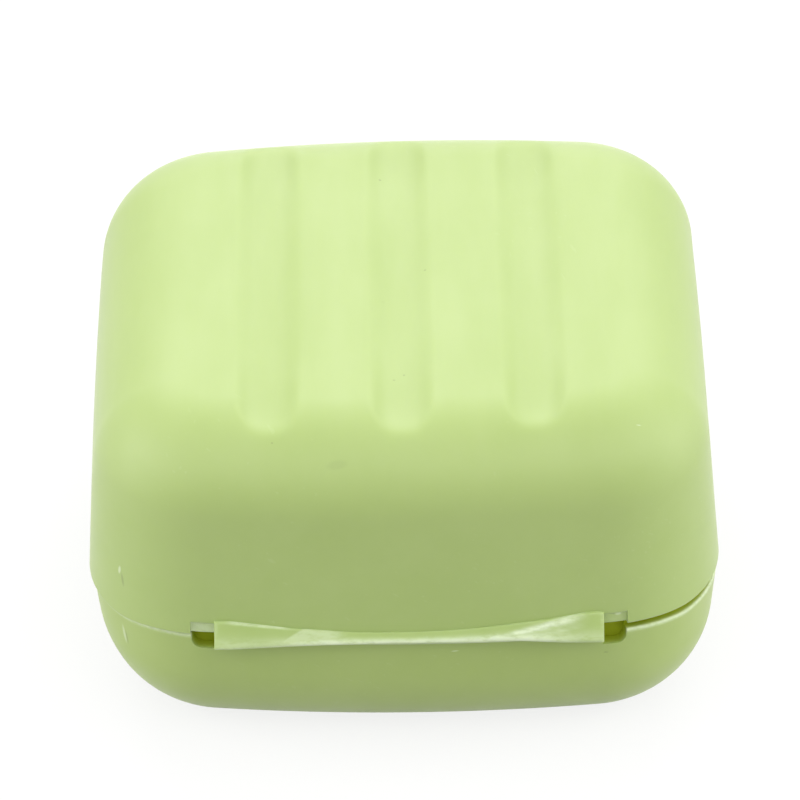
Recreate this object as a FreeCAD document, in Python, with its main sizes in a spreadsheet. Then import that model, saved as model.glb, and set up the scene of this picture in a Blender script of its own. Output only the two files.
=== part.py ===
import FreeCAD, Part
import math
import os
import Sketcher

# Travel soap box: a tray and a lid joined by a thin moulded hinge web, closed by a flap at the front,
# with a loose draining rack inside. Millimetres; Z up, hinge at +Y, front at -Y, Z 0 is the underside.

# Driving sizes. Lengths are in mm and drafts in degrees.
SIZES = {
    # rim outline shared by lid and tray
    "rim_width": 100.0,
    "rim_depth": 98.0,
    "rear_bow": 4.4,
    "side_bow": 0.6,
    "corner_radius": 21.0,
    "wall_thickness": 1.6,
    # lid
    "lid_height": 36.9,
    "lid_draft": 4.0,
    "shoulder_radius": 14.5,
    "groove_width": 10.0,
    "groove_depth": 1.2,
    "groove_pitch": 20.8,
    "groove_edge_radius": 3.0,
    # tray
    "base_height": 22.6,
    "base_draft": 4.6,
    "foot_radius": 16.8,
    "lid_overhang": 0.7,
    "parting_gap": 0.3,
    "lip_height": 2.0,
    "lip_root": 3.5,
    "lip_thickness": 1.1,
    "lip_clearance": 0.35,
    # rear hinge web and the relief notches at its ends
    "hinge_length": 61.0,
    "hinge_reach": 1.5,
    "hinge_film": 0.6,
    "hinge_crest": 0.9,
    "hinge_root": 0.9,
    "hinge_end_setback": 1.9,
    "hinge_rise_mid": 1.45,
    "hinge_rise_end": 4.2,
    "hinge_drop": 1.5,
    "hinge_crest_drop": 0.3,
    "web_gap": 0.1,
    "notch_width": 3.8,
    "notch_rise": 0.4,
    "notch_drop": 2.6,
    # front clasp
    "clasp_width": 26.0,
    "clasp_thickness": 1.6,
    "clasp_top": 9.5,
    "clasp_bottom": 11.0,
    "clasp_gap": 0.9,
    "clasp_corner": 5.0,
    "clasp_ridge": 1.1,
    "clasp_ridge_height": 2.4,
    "clasp_ridge_edge": 1.2,
    "nose_depth": 1.0,
    "nose_height": 1.6,
    "nose_drop": 5.2,
    "catch_width": 20.0,
    "catch_height": 1.4,
    "catch_clearance": 0.25,
    "catch_drop": 0.4,
    "catch_root": 0.6,
    "clasp_web_width": 22.0,
    # draining rack
    "rack_level": 6.0,
    "rack_thickness": 1.8,
    "rack_clearance": 0.8,
    "rack_slot_width": 4.0,
    "rack_border": 9.0,
    "rack_slot_pitch": 9.5,
    "rack_foot_radius": 2.5,
    "rack_foot_edge": 4.0,
    "cut_margin": 2.0,
}
GROOVE_COUNT = 3
RACK_SLOT_COUNT = 7

doc = FreeCAD.newDocument("soap_box")
sheet = doc.addObject("Spreadsheet::Sheet", "Sizes")
for row, (alias, value) in enumerate(SIZES.items(), start=1):
    sheet.set("A%d" % row, alias)
    sheet.set("B%d" % row, repr(value))
    sheet.setAlias("B%d" % row, alias)
doc.recompute()

# Expressions used by more than one piece.
HALF_W = "Sizes.rim_width / 2"
HALF_D = "Sizes.rim_depth / 2"
REAR_R = "((Sizes.rim_width / 2)^2 + Sizes.rear_bow^2) / (2 * Sizes.rear_bow)"
SIDE_R = "((Sizes.rim_depth / 2)^2 + Sizes.side_bow^2) / (2 * Sizes.side_bow)"
LID_Z = "Sizes.base_height + Sizes.parting_gap"
PARTING_Z = "Sizes.base_height + Sizes.parting_gap / 2"
GROOVE_R = "((Sizes.groove_width / 2)^2 + Sizes.groove_depth^2) / (2 * Sizes.groove_depth)"
LIP_OUT = "Sizes.wall_thickness + Sizes.lip_height * tan(Sizes.lid_draft) + Sizes.lip_clearance"
# Inset of the flat underside from the rim, and of the tray's inside at the level where the rack lies.
FLAT_IN = ("Sizes.lid_overhang + Sizes.foot_radius * cos(Sizes.base_draft) + tan(Sizes.base_draft) * "
           "(Sizes.base_height - Sizes.foot_radius + Sizes.foot_radius * sin(Sizes.base_draft))")
RACK_IN = (FLAT_IN + " + Sizes.rack_clearance - sqrt((Sizes.foot_radius - Sizes.wall_thickness)^2"
           " - (Sizes.foot_radius - Sizes.rack_level)^2)")
CLASP_IN = "-(Sizes.rim_depth / 2 + Sizes.clasp_gap)"
CLASP_OUT = CLASP_IN + " - Sizes.clasp_thickness"


def number(text):
    """Value of an expression over the sheet, used to start a sketch near its solution."""
    return float(sheet.evalExpression(text))


def plane(body, role):
    """Origin plane of a body, by its role."""
    return [item for item in body.Origin.OriginFeatures if item.Role == role][0]


def axis(body, role):
    """Origin axis of a body, by its role."""
    return plane(body, role)


def new_body(name, z_text=None):
    """Body whose own zero lies at the given height."""
    body = doc.addObject("PartDesign::Body", name)
    body.Label = name
    if z_text:
        body.setExpression("Placement.Base.z", z_text)
    return body


def new_sketch(body, name, role, offset_text=None):
    """Empty sketch on one of the body's origin planes, moved along the plane's normal."""
    sketch = body.newObject("Sketcher::SketchObject", name)
    sketch.AttachmentSupport = [(plane(body, role), "")]
    sketch.MapMode = "FlatFace"
    if offset_text:
        sketch.setExpression("AttachmentOffset.Base.z", offset_text)
    return sketch


def bind(sketch, index, name, text):
    """Name a constraint and drive it from the sheet."""
    sketch.renameConstraint(index, name)
    sketch.setExpression("Constraints." + name, text)


def place(sketch, item, point, across, upward, name):
    """Fix a point of a sketch at (across, upward), both expressions; the sign is taken from the sizes."""
    for kind, text, tail in (("DistanceX", across, "_x"), ("DistanceY", upward, "_y")):
        value = number(text)
        if value == 0.0:
            index = sketch.addConstraint(Sketcher.Constraint("PointOnObject", item, point,
                                                             -2 if kind == "DistanceX" else -1))
        elif value > 0.0:
            index = sketch.addConstraint(Sketcher.Constraint(kind, -1, 1, item, point, value))
            bind(sketch, index, name + tail, text)
        else:
            index = sketch.addConstraint(Sketcher.Constraint(kind, item, point, -1, 1, -value))
            bind(sketch, index, name + tail, "-(" + text + ")")


def polygon(sketch, corners, name):
    """Closed polygon whose corners are (across, upward) expressions."""
    spots = [FreeCAD.Vector(number(a), number(u), 0) for a, u in corners]
    first = sketch.GeometryCount
    count = len(spots)
    for k in range(count):
        sketch.addGeometry(Part.LineSegment(spots[k], spots[(k + 1) % count]), False)
    for k in range(count):
        sketch.addConstraint(Sketcher.Constraint("Coincident", first + k, 2, first + (k + 1) % count, 1))
    for k, (across, upward) in enumerate(corners):
        place(sketch, first + k, 1, across, upward, "%s%d" % (name, k))


def circle(sketch, across, upward, radius, name):
    """Circle with a driven centre and radius."""
    centre = FreeCAD.Vector(number(across), number(upward), 0)
    item = sketch.addGeometry(Part.Circle(centre, FreeCAD.Vector(0, 0, 1), number(radius)), False)
    place(sketch, item, 3, across, upward, name)
    index = sketch.addConstraint(Sketcher.Constraint("Radius", item, number(radius)))
    bind(sketch, index, name + "_r", radius)


def outline(sketch, inset, name):
    """Rim outline moved inward by an expression: four bowed sides and four corners, all tangent arcs."""
    half_w, half_d = number(HALF_W), number(HALF_D)
    rear_r, side_r = number(REAR_R), number(SIDE_R)
    corner = SIZES["corner_radius"]
    shift = number(inset)
    rear_c = FreeCAD.Vector(0, half_d - rear_r, 0)
    side_c = FreeCAD.Vector(half_w - side_r, 0, 0)
    # The corner's centre lies inside the rear arc and the side arc by the corner radius.
    span = (side_c - rear_c).Length
    along = ((rear_r - corner) ** 2 - (side_r - corner) ** 2 + span ** 2) / (2 * span)
    across = math.sqrt((rear_r - corner) ** 2 - along ** 2)
    unit = (side_c - rear_c) / span
    corner_c = rear_c + unit * along + FreeCAD.Vector(unit.y, -unit.x, 0) * across
    rear_t = math.atan2(corner_c.y - rear_c.y, corner_c.x - rear_c.x)
    side_t = math.atan2(corner_c.y - side_c.y, corner_c.x - side_c.x)
    turn = math.pi
    arcs = [
        (side_c, side_r, -side_t, side_t),
        (corner_c, corner, side_t, rear_t),
        (rear_c, rear_r, rear_t, turn - rear_t),
        (FreeCAD.Vector(-corner_c.x, corner_c.y, 0), corner, turn - rear_t, turn - side_t),
        (-side_c, side_r, turn - side_t, turn + side_t),
        (-corner_c, corner, turn + side_t, turn + rear_t),
        (-rear_c, rear_r, turn + rear_t, 2 * turn - rear_t),
        (FreeCAD.Vector(corner_c.x, -corner_c.y, 0), corner, 2 * turn - rear_t, 2 * turn - side_t),
    ]
    up = FreeCAD.Vector(0, 0, 1)
    items = []
    for centre, radius, start, end in arcs:
        ring = Part.Circle(centre, up, radius - shift)
        items.append(sketch.addGeometry(Part.ArcOfCircle(ring, start, end), False))
    for k in range(len(items)):
        follow = items[(k + 1) % len(items)]
        sketch.addConstraint(Sketcher.Constraint("Tangent", items[k], 2, follow, 1))
    right, first_corner, rear, second, left, third, front, fourth = items
    for item in (second, third, fourth):
        sketch.addConstraint(Sketcher.Constraint("Equal", first_corner, item))
    sketch.addConstraint(Sketcher.Constraint("Equal", rear, front))
    sketch.addConstraint(Sketcher.Constraint("Equal", right, left))
    for item, radius, word in ((first_corner, "Sizes.corner_radius", "corner"), (rear, REAR_R, "rear"),
                               (right, SIDE_R, "side")):
        text = "%s - (%s)" % (radius, inset)
        index = sketch.addConstraint(Sketcher.Constraint("Radius", item, number(text)))
        bind(sketch, index, name + "_" + word, text)
    rear_y = "%s - %s" % (HALF_D, REAR_R)
    side_x = "%s - %s" % (HALF_W, SIDE_R)
    zero = "0"
    place(sketch, rear, 3, zero, rear_y, name + "_rear_c")
    place(sketch, front, 3, zero, "-(%s)" % rear_y, name + "_front_c")
    place(sketch, right, 3, side_x, zero, name + "_right_c")
    place(sketch, left, 3, "-(%s)" % side_x, zero, name + "_left_c")


def pad(body, name, sketch, length, draft=None, down=False, both=False):
    """Pad with a driven length and, where asked, walls that lean inward by a driven draft."""
    item = body.newObject("PartDesign::Pad", name)
    item.Profile = sketch
    item.setExpression("Length", length)
    item.Reversed = down
    item.Midplane = both
    if draft:
        item.setExpression("TaperAngle", "-(" + draft + ")")
    doc.recompute()
    return item


def pocket(body, name, sketch, length=None, both=False, flip=False):
    """Pocket of a driven depth, or through everything."""
    item = body.newObject("PartDesign::Pocket", name)
    item.Profile = sketch
    if length:
        item.setExpression("Length", length)
    else:
        item.Type = 1
    item.Midplane = both
    item.Reversed = flip
    doc.recompute()
    return item


def round_edges(body, name, feature, edges, radius):
    """Fillet of a driven radius on the named edges."""
    item = body.newObject("PartDesign::Fillet", name)
    item.Base = (feature, edges)
    item.setExpression("Radius", radius)
    doc.recompute()
    return item


def edges_where(shape, test):
    """Names of the edges whose every sample point passes a test."""
    found = []
    for k, edge in enumerate(shape.Edges, start=1):
        spots = edge.discretize(5)
        if all(test(spot) for spot in spots):
            found.append("Edge%d" % k)
    return found


def cut_with(body, name, tool):
    """Take a whole tool body away from a body."""
    item = body.newObject("PartDesign::Boolean", name)
    item.Type = "Cut"
    item.Group = [tool]
    body.Tip = item
    doc.recompute()
    return item


NEAR = 1e-4

# Lid: drafted wall, round shoulder, three shallow front-to-back grooves, hollowed from below.
lid = new_body("lid_shell", LID_Z)
lid_rim = new_sketch(lid, "lid_rim", "XY_Plane")
outline(lid_rim, "0", "rim")
lid_block = pad(lid, "lid_block", lid_rim, "Sizes.lid_height", "Sizes.lid_draft")
lid_top = SIZES["lid_height"]
lid_round = round_edges(lid, "lid_round", lid_block,
                        edges_where(lid_block.Shape, lambda p: abs(p.z - lid_top) < NEAR),
                        "Sizes.shoulder_radius")
groove_sketch = new_sketch(lid, "groove_sketch", "XZ_Plane")
circle(groove_sketch, "-Sizes.groove_pitch", "Sizes.lid_height - Sizes.groove_depth + " + GROOVE_R,
       GROOVE_R, "groove")
groove = pocket(lid, "groove", groove_sketch, both=True)
grooves = lid.newObject("PartDesign::LinearPattern", "grooves")
grooves.Originals = [groove]
grooves.Direction = (axis(lid, "X_Axis"), [""])
grooves.setExpression("Length", "2 * Sizes.groove_pitch")
grooves.Occurrences = GROOVE_COUNT
lid.Tip = grooves
doc.recompute()


def on_groove(spot):
    """True for a point on one of the groove cylinders."""
    radius = number(GROOVE_R)
    height = SIZES["lid_height"] - SIZES["groove_depth"] + radius
    for step in (-1, 0, 1):
        if abs(math.hypot(spot.x - step * SIZES["groove_pitch"], spot.z - height) - radius) < NEAR:
            return True
    return False


groove_soft = round_edges(lid, "groove_soft", grooves, edges_where(grooves.Shape, on_groove),
                          "Sizes.groove_edge_radius")
# The hollow is a smaller block of the same form, with a ridge below each groove so the top keeps its wall.
lid_core = new_body("lid_core")
core_rim = new_sketch(lid_core, "core_rim", "XY_Plane")
outline(core_rim, "Sizes.wall_thickness", "core")
core_block = pad(lid_core, "core_block", core_rim, "Sizes.lid_height - Sizes.wall_thickness",
                 "Sizes.lid_draft")
core_top = SIZES["lid_height"] - SIZES["wall_thickness"]
core_round = round_edges(lid_core, "core_round", core_block,
                         edges_where(core_block.Shape, lambda p: abs(p.z - core_top) < NEAR),
                         "Sizes.shoulder_radius - Sizes.wall_thickness")
ridge_sketch = new_sketch(lid_core, "ridge_sketch", "XZ_Plane")
circle(ridge_sketch, "-Sizes.groove_pitch", "Sizes.lid_height - Sizes.groove_depth + " + GROOVE_R,
       GROOVE_R + " + Sizes.wall_thickness", "ridge")
ridge = pocket(lid_core, "ridge", ridge_sketch, both=True)
ridges = lid_core.newObject("PartDesign::LinearPattern", "ridges")
ridges.Originals = [ridge]
ridges.Direction = (axis(lid_core, "X_Axis"), [""])
ridges.setExpression("Length", "2 * Sizes.groove_pitch")
ridges.Occurrences = GROOVE_COUNT
lid_core.Tip = ridges
doc.recompute()
lid_hollow = cut_with(lid, "lid_hollow", lid_core)
# Relief notches at both ends of the hinge web, open to the rim.
HINGE_END = "Sizes.hinge_length / 2"
NOTCH_END = "Sizes.hinge_length / 2 + Sizes.notch_width"
lid_notch_sketch = new_sketch(lid, "lid_notch_sketch", "XZ_Plane")
for word, sign in (("right", ""), ("left", "-")):
    near, far = sign + "(" + HINGE_END + ")", sign + "(" + NOTCH_END + ")"
    polygon(lid_notch_sketch, [(near, "-Sizes.cut_margin"), (far, "-Sizes.cut_margin"),
                               (far, "Sizes.notch_rise"), (near, "Sizes.notch_rise")], word)
lid_notch = pocket(lid, "lid_notch", lid_notch_sketch)

# Tray: drafted wall, round bottom edge, hollow, a locating lip inside the rim and a catch at the front.
tray = new_body("base_tray")
tray_rim = new_sketch(tray, "tray_rim", "XY_Plane", "Sizes.base_height")
outline(tray_rim, "Sizes.lid_overhang", "tray")
tray_block = pad(tray, "tray_block", tray_rim, "Sizes.base_height", "Sizes.base_draft", down=True)
tray_round = round_edges(tray, "tray_round", tray_block,
                         edges_where(tray_block.Shape, lambda p: abs(p.z) < NEAR), "Sizes.foot_radius")
tray_core = new_body("tray_core")
hollow_rim = new_sketch(tray_core, "hollow_rim", "XY_Plane", "Sizes.base_height")
outline(hollow_rim, "Sizes.lid_overhang + Sizes.wall_thickness", "hollow")
hollow_block = pad(tray_core, "hollow_block", hollow_rim, "Sizes.base_height - Sizes.wall_thickness",
                   "Sizes.base_draft", down=True)
floor_z = SIZES["wall_thickness"]
hollow_round = round_edges(tray_core, "hollow_round", hollow_block,
                           edges_where(hollow_block.Shape, lambda p: abs(p.z - floor_z) < NEAR),
                           "Sizes.foot_radius - Sizes.wall_thickness")
tray_hollow = cut_with(tray, "tray_hollow", tray_core)
lip_sketch = new_sketch(tray, "lip_sketch", "XY_Plane", "Sizes.base_height - Sizes.lip_root")
outline(lip_sketch, LIP_OUT, "lip_out")
outline(lip_sketch, LIP_OUT + " + Sizes.lip_thickness", "lip_in")
lip = pad(tray, "lip", lip_sketch, "Sizes.lip_root + Sizes.lip_height")
catch_sketch = new_sketch(tray, "catch_sketch", "YZ_Plane")
CATCH_OUT = CLASP_IN + " + Sizes.nose_depth + Sizes.catch_clearance"
CATCH_LOW = PARTING_Z + " - Sizes.nose_drop + Sizes.catch_drop"
CATCH_BACK = ("-(Sizes.rim_depth / 2 - Sizes.lid_overhang - Sizes.catch_root"
              " - Sizes.nose_drop * tan(Sizes.base_draft))")
polygon(catch_sketch, [(CATCH_OUT, CATCH_LOW), (CATCH_BACK, CATCH_LOW),
                       (CATCH_BACK, CATCH_LOW + " + Sizes.catch_height"),
                       (CATCH_OUT, CATCH_LOW + " + Sizes.catch_height")], "catch")
catch = pad(tray, "catch", catch_sketch, "Sizes.catch_width", both=True)
tray_notch_sketch = new_sketch(tray, "tray_notch_sketch", "XZ_Plane")
NOTCH_LOW = "Sizes.base_height - Sizes.notch_drop"
NOTCH_TOP = "Sizes.base_height + Sizes.lip_height + Sizes.cut_margin"
for word, sign in (("right", ""), ("left", "-")):
    near, far = sign + "(" + HINGE_END + ")", sign + "(" + NOTCH_END + ")"
    polygon(tray_notch_sketch, [(near, NOTCH_LOW), (far, NOTCH_LOW),
                                (far, NOTCH_TOP), (near, NOTCH_TOP)], word)
tray_notch = pocket(tray, "tray_notch", tray_notch_sketch)

# Outlines a web gap larger than lid and tray, which trim the two webs where they meet the walls.
lid_trim = new_body("lid_trim", PARTING_Z)
lid_trim_rim = new_sketch(lid_trim, "lid_trim_rim", "XY_Plane")
outline(lid_trim_rim, "-Sizes.web_gap", "lid_trim")
pad(lid_trim, "lid_trim_block", lid_trim_rim, "Sizes.lid_height", "Sizes.lid_draft")
tray_trim = new_body("tray_trim", PARTING_Z)
tray_trim_rim = new_sketch(tray_trim, "tray_trim_rim", "XY_Plane")
outline(tray_trim_rim, "Sizes.lid_overhang - Sizes.web_gap", "tray_trim")
pad(tray_trim, "tray_trim_block", tray_trim_rim, "Sizes.base_height", "Sizes.base_draft", down=True)

# Rear hinge web: a folded film, short at the middle and taller toward its ends, with a straight crest.
web_blank = new_body("hinge_web_blank", PARTING_Z)


def web_section(name, offset, setback, rise):
    """Folded cross-section of the web at one station along the hinge."""
    sketch = new_sketch(web_blank, name, "YZ_Plane", offset)
    root = "%s - Sizes.hinge_root - %s" % (HALF_D, setback)
    crest = HALF_D + " + Sizes.hinge_reach"
    polygon(sketch, [
        (root, rise),
        (root, rise + " - Sizes.hinge_film"),
        (crest + " - Sizes.hinge_crest", "-Sizes.hinge_crest_drop"),
        (root, "Sizes.hinge_film - Sizes.hinge_drop"),
        (root, "-Sizes.hinge_drop"),
        (crest, "-Sizes.hinge_crest_drop"),
    ], "web")
    return sketch


web_left = web_section("web_left", "-" + HINGE_END, "Sizes.hinge_end_setback", "Sizes.hinge_rise_end")
web_mid = web_section("web_mid", None, "0", "Sizes.hinge_rise_mid")
web_right = web_section("web_right", HINGE_END, "Sizes.hinge_end_setback", "Sizes.hinge_rise_end")
doc.recompute()
web_loft = web_blank.newObject("PartDesign::AdditiveLoft", "web_loft")
web_loft.Profile = web_left
web_loft.Sections = [web_mid, web_right]
doc.recompute()


def trimmed(label, blank, tools):
    """Cut a blank by the trimming outlines."""
    if len(tools) > 1:
        tool = doc.addObject("Part::MultiFuse", label + "_tools")
        tool.Shapes = tools
    else:
        tool = tools[0]
    item = doc.addObject("Part::Cut", label)
    item.Base = blank
    item.Tool = tool
    item.Label = label
    doc.recompute()
    return item


hinge_web = trimmed("hinge_web", web_blank, [lid_trim, tray_trim])

# Front clasp: a flap on a short web below the lid's shoulder, with a nose below the catch and a finger ridge.
clasp = new_body("front_clasp", PARTING_Z)
plate_sketch = new_sketch(clasp, "plate_sketch", "XZ_Plane", "-(" + CLASP_IN + ")")
SIDE = "Sizes.clasp_width / 2"
polygon(plate_sketch, [("-" + SIDE, "-Sizes.clasp_bottom"), (SIDE, "-Sizes.clasp_bottom"),
                       (SIDE, "Sizes.clasp_top"), ("-" + SIDE, "Sizes.clasp_top")], "plate")
plate = pad(clasp, "plate", plate_sketch, "Sizes.clasp_thickness")
side_x, low_z = SIZES["clasp_width"] / 2, SIZES["clasp_bottom"]
plate_round = round_edges(clasp, "plate_round", plate,
                          edges_where(plate.Shape, lambda p: abs(abs(p.x) - side_x) < NEAR
                                      and abs(p.z + low_z) < NEAR), "Sizes.clasp_corner")
nose_sketch = new_sketch(clasp, "nose_sketch", "YZ_Plane")
NOSE_IN = CLASP_IN + " + Sizes.nose_depth"
PLATE_MID = CLASP_IN + " - Sizes.clasp_thickness / 2"
polygon(nose_sketch, [(PLATE_MID, "-Sizes.nose_drop"), (NOSE_IN, "-Sizes.nose_drop"),
                      (NOSE_IN, "-Sizes.nose_drop - Sizes.nose_height / 2"),
                      (CLASP_IN, "-Sizes.nose_drop - Sizes.nose_height"),
                      (PLATE_MID, "-Sizes.nose_drop - Sizes.nose_height")], "nose")
nose = pad(clasp, "nose", nose_sketch, "Sizes.catch_width", both=True)
ridge_side = new_sketch(clasp, "finger_sketch", "YZ_Plane")
RIDGE_LOW = "Sizes.clasp_ridge_edge - Sizes.clasp_bottom"
polygon(ridge_side, [(PLATE_MID, RIDGE_LOW), (PLATE_MID, RIDGE_LOW + " + Sizes.clasp_ridge_height"),
                     (CLASP_OUT, RIDGE_LOW + " + Sizes.clasp_ridge_height"),
                     (CLASP_OUT + " - Sizes.clasp_ridge", RIDGE_LOW)], "finger")
finger = pad(clasp, "finger", ridge_side, "Sizes.clasp_width - 2 * Sizes.clasp_corner", both=True)

# Web that carries the clasp on the lid's front wall.
clasp_blank = new_body("clasp_web_blank", PARTING_Z)
clasp_web_sketch = new_sketch(clasp_blank, "clasp_web_sketch", "YZ_Plane")
WEB_OUT = CLASP_IN + " + Sizes.web_gap"
WEB_BACK = "Sizes.clasp_top * tan(Sizes.lid_draft) + Sizes.hinge_root - Sizes.rim_depth / 2"
polygon(clasp_web_sketch, [(WEB_OUT, "Sizes.clasp_top - Sizes.hinge_film"),
                           (WEB_BACK, "Sizes.clasp_top - Sizes.hinge_film"),
                           (WEB_BACK, "Sizes.clasp_top"), (WEB_OUT, "Sizes.clasp_top")], "film")
pad(clasp_blank, "clasp_film", clasp_web_sketch, "Sizes.clasp_web_width", both=True)
clasp_web = trimmed("clasp_web", clasp_blank, [lid_trim])

# Draining rack: a slotted plate on four short feet, loose in the tray.
rack = new_body("drain_rack")
rack_rim = new_sketch(rack, "rack_rim", "XY_Plane", "Sizes.rack_level")
outline(rack_rim, RACK_IN, "rack")
rack_plate = pad(rack, "rack_plate", rack_rim, "Sizes.rack_thickness")
feet_sketch = new_sketch(rack, "feet_sketch", "XY_Plane", "Sizes.wall_thickness")
FOOT_X = "%d / 2 * Sizes.rack_slot_pitch" % (RACK_SLOT_COUNT - 2)
FOOT_Y = "%s - (%s) - Sizes.rack_foot_radius - Sizes.rack_foot_edge" % (HALF_D, FLAT_IN)
for k, (sign_x, sign_y) in enumerate((("", ""), ("-", ""), ("", "-"), ("-", "-"))):
    circle(feet_sketch, "%s(%s)" % (sign_x, FOOT_X), "%s(%s)" % (sign_y, FOOT_Y), "Sizes.rack_foot_radius",
           "foot%d" % k)
feet = pad(rack, "feet", feet_sketch, "Sizes.rack_level - Sizes.wall_thickness + Sizes.rack_thickness / 2")
slot_sketch = new_sketch(rack, "slot_sketch", "XY_Plane", "Sizes.rack_level")
SLOT_X = "-%d / 2 * Sizes.rack_slot_pitch" % (RACK_SLOT_COUNT - 1)
SLOT_Y = "%s - (%s) - Sizes.rack_border - Sizes.rack_slot_width / 2" % (HALF_D, RACK_IN)


def slot(sketch, across, reach, radius, name):
    """Round-ended slot along Y, centred on the X axis of the sketch."""
    x, y, r = number(across), number(reach), number(radius)
    up = FreeCAD.Vector(0, 0, 1)
    top = sketch.addGeometry(Part.ArcOfCircle(Part.Circle(FreeCAD.Vector(x, y, 0), up, r), 0, math.pi), False)
    low = sketch.addGeometry(Part.ArcOfCircle(Part.Circle(FreeCAD.Vector(x, -y, 0), up, r), math.pi,
                                              2 * math.pi), False)
    left = sketch.addGeometry(Part.LineSegment(FreeCAD.Vector(x - r, y, 0),
                                               FreeCAD.Vector(x - r, -y, 0)), False)
    right = sketch.addGeometry(Part.LineSegment(FreeCAD.Vector(x + r, -y, 0),
                                                FreeCAD.Vector(x + r, y, 0)), False)
    for one, other in ((top, left), (left, low), (low, right), (right, top)):
        sketch.addConstraint(Sketcher.Constraint("Tangent", one, 2, other, 1))
    sketch.addConstraint(Sketcher.Constraint("Equal", top, low))
    place(sketch, top, 3, across, reach, name + "_top")
    place(sketch, low, 3, across, "-(" + reach + ")", name + "_low")
    index = sketch.addConstraint(Sketcher.Constraint("Radius", top, r))
    bind(sketch, index, name + "_r", radius)


slot(slot_sketch, SLOT_X, SLOT_Y, "Sizes.rack_slot_width / 2", "slot")
slot_cut = pocket(rack, "slot_cut", slot_sketch, flip=True)
slots = rack.newObject("PartDesign::LinearPattern", "slots")
slots.Originals = [slot_cut]
slots.Direction = (axis(rack, "X_Axis"), [""])
slots.setExpression("Length", "%d * Sizes.rack_slot_pitch" % (RACK_SLOT_COUNT - 1))
slots.Occurrences = RACK_SLOT_COUNT
rack.Tip = slots
doc.recompute()

# Every feature must have computed, and every piece must be one sound solid.
PIECES = [tray, lid, hinge_web, clasp, clasp_web, rack]
for item in doc.Objects:
    if "Invalid" in item.State or "Error" in item.State:
        raise RuntimeError("%s did not compute: %s" % (item.Name, item.State))
os.makedirs("parts", exist_ok=True)
for piece in PIECES:
    shape = piece.Shape
    if shape.isNull() or not shape.isValid() or len(shape.Solids) != 1:
        raise RuntimeError("%s is not one sound solid" % piece.Label)
    shape.exportStep("parts/%s.step" % piece.Label)
    print(piece.Label, round(shape.Volume, 1), shape.BoundBox)
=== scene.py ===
import logging
import math
from dataclasses import dataclass, field
from enum import Enum, IntEnum
from typing import Callable

import bpy
import numpy as np
from mathutils import Matrix, Vector


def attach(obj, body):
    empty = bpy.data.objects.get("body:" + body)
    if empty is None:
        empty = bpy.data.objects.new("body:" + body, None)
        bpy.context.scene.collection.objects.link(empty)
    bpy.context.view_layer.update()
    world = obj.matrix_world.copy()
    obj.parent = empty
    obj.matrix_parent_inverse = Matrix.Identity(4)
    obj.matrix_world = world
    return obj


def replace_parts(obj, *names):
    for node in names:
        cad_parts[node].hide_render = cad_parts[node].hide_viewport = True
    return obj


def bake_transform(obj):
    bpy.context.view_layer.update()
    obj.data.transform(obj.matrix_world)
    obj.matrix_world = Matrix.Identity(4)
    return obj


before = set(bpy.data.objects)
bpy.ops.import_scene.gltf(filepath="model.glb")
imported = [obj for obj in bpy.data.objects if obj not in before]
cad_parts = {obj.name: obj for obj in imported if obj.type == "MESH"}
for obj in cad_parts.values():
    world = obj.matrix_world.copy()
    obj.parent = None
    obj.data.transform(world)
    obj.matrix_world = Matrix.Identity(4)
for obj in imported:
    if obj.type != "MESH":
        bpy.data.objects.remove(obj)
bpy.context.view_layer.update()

MM = 0.001
TINY = 1e-6
QUARTER_TURN = math.pi / 2.0
LOG = logging.getLogger("soap_box")
Array = np.ndarray
Pair = tuple[float, float]
Triple = tuple[float, float, float]
Colour = Triple
Knots = tuple[Pair, ...]
Socket = bpy.types.NodeSocket
Input = Socket | float | tuple


def ramp(low: float, high: float, value: Array) -> Array:
    """Smooth step: t runs 0 to 1 between low and high, and t * t * (3 - 2 t) eases both ends.

    Args:
        low: Value where the step is 0.
        high: Value where the step is 1; it may lie below low.
        value: Values to step.

    Returns:
        The step, between 0 and 1.
    """
    t = np.clip((value - low) / (high - low), 0.0, 1.0)
    return t * t * (3.0 - 2.0 * t)


def soft_min(a: Array, b: Array, width: float) -> Array:
    """Lower of two heights, rounded over a width where they cross.

    Args:
        a: First heights.
        b: Second heights.
        width: Span of height over which the crossing is rounded.

    Returns:
        a h + b (1 - h) - width h (1 - h), where h is 1/2 + (b - a) / (2 width) held between 0 and 1.
    """
    h = np.clip(0.5 + 0.5 * (b - a) / width, 0.0, 1.0)
    return b * (1.0 - h) + a * h - width * h * (1.0 - h)


def curve_through(knots: Knots, at: Array) -> Array:
    """Cubic Hermite curve through knots, with the slopes of their neighbours.

    Args:
        knots: Pairs of place and height, in rising order of place.
        at: Places where the curve is wanted.

    Returns:
        The heights there.
    """
    xs, ys = np.array(knots, float).T
    slope = np.gradient(ys, xs)
    k = np.clip(np.searchsorted(xs, at) - 1, 0, len(xs) - 2)
    h = xs[k + 1] - xs[k]
    t = np.clip((at - xs[k]) / h, 0.0, 1.0)
    return ((2 * t ** 3 - 3 * t ** 2 + 1) * ys[k] + (t ** 3 - 2 * t ** 2 + t) * h * slope[k]
            + (3 * t ** 2 - 2 * t ** 3) * ys[k + 1] + (t ** 3 - t ** 2) * h * slope[k + 1])


def between(a: Array, b: Array, shares: Array) -> Array:
    """Points a + share (b - a), one column per share."""
    return a[:, None] + shares[None, :, None] * (b - a)[:, None]


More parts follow.
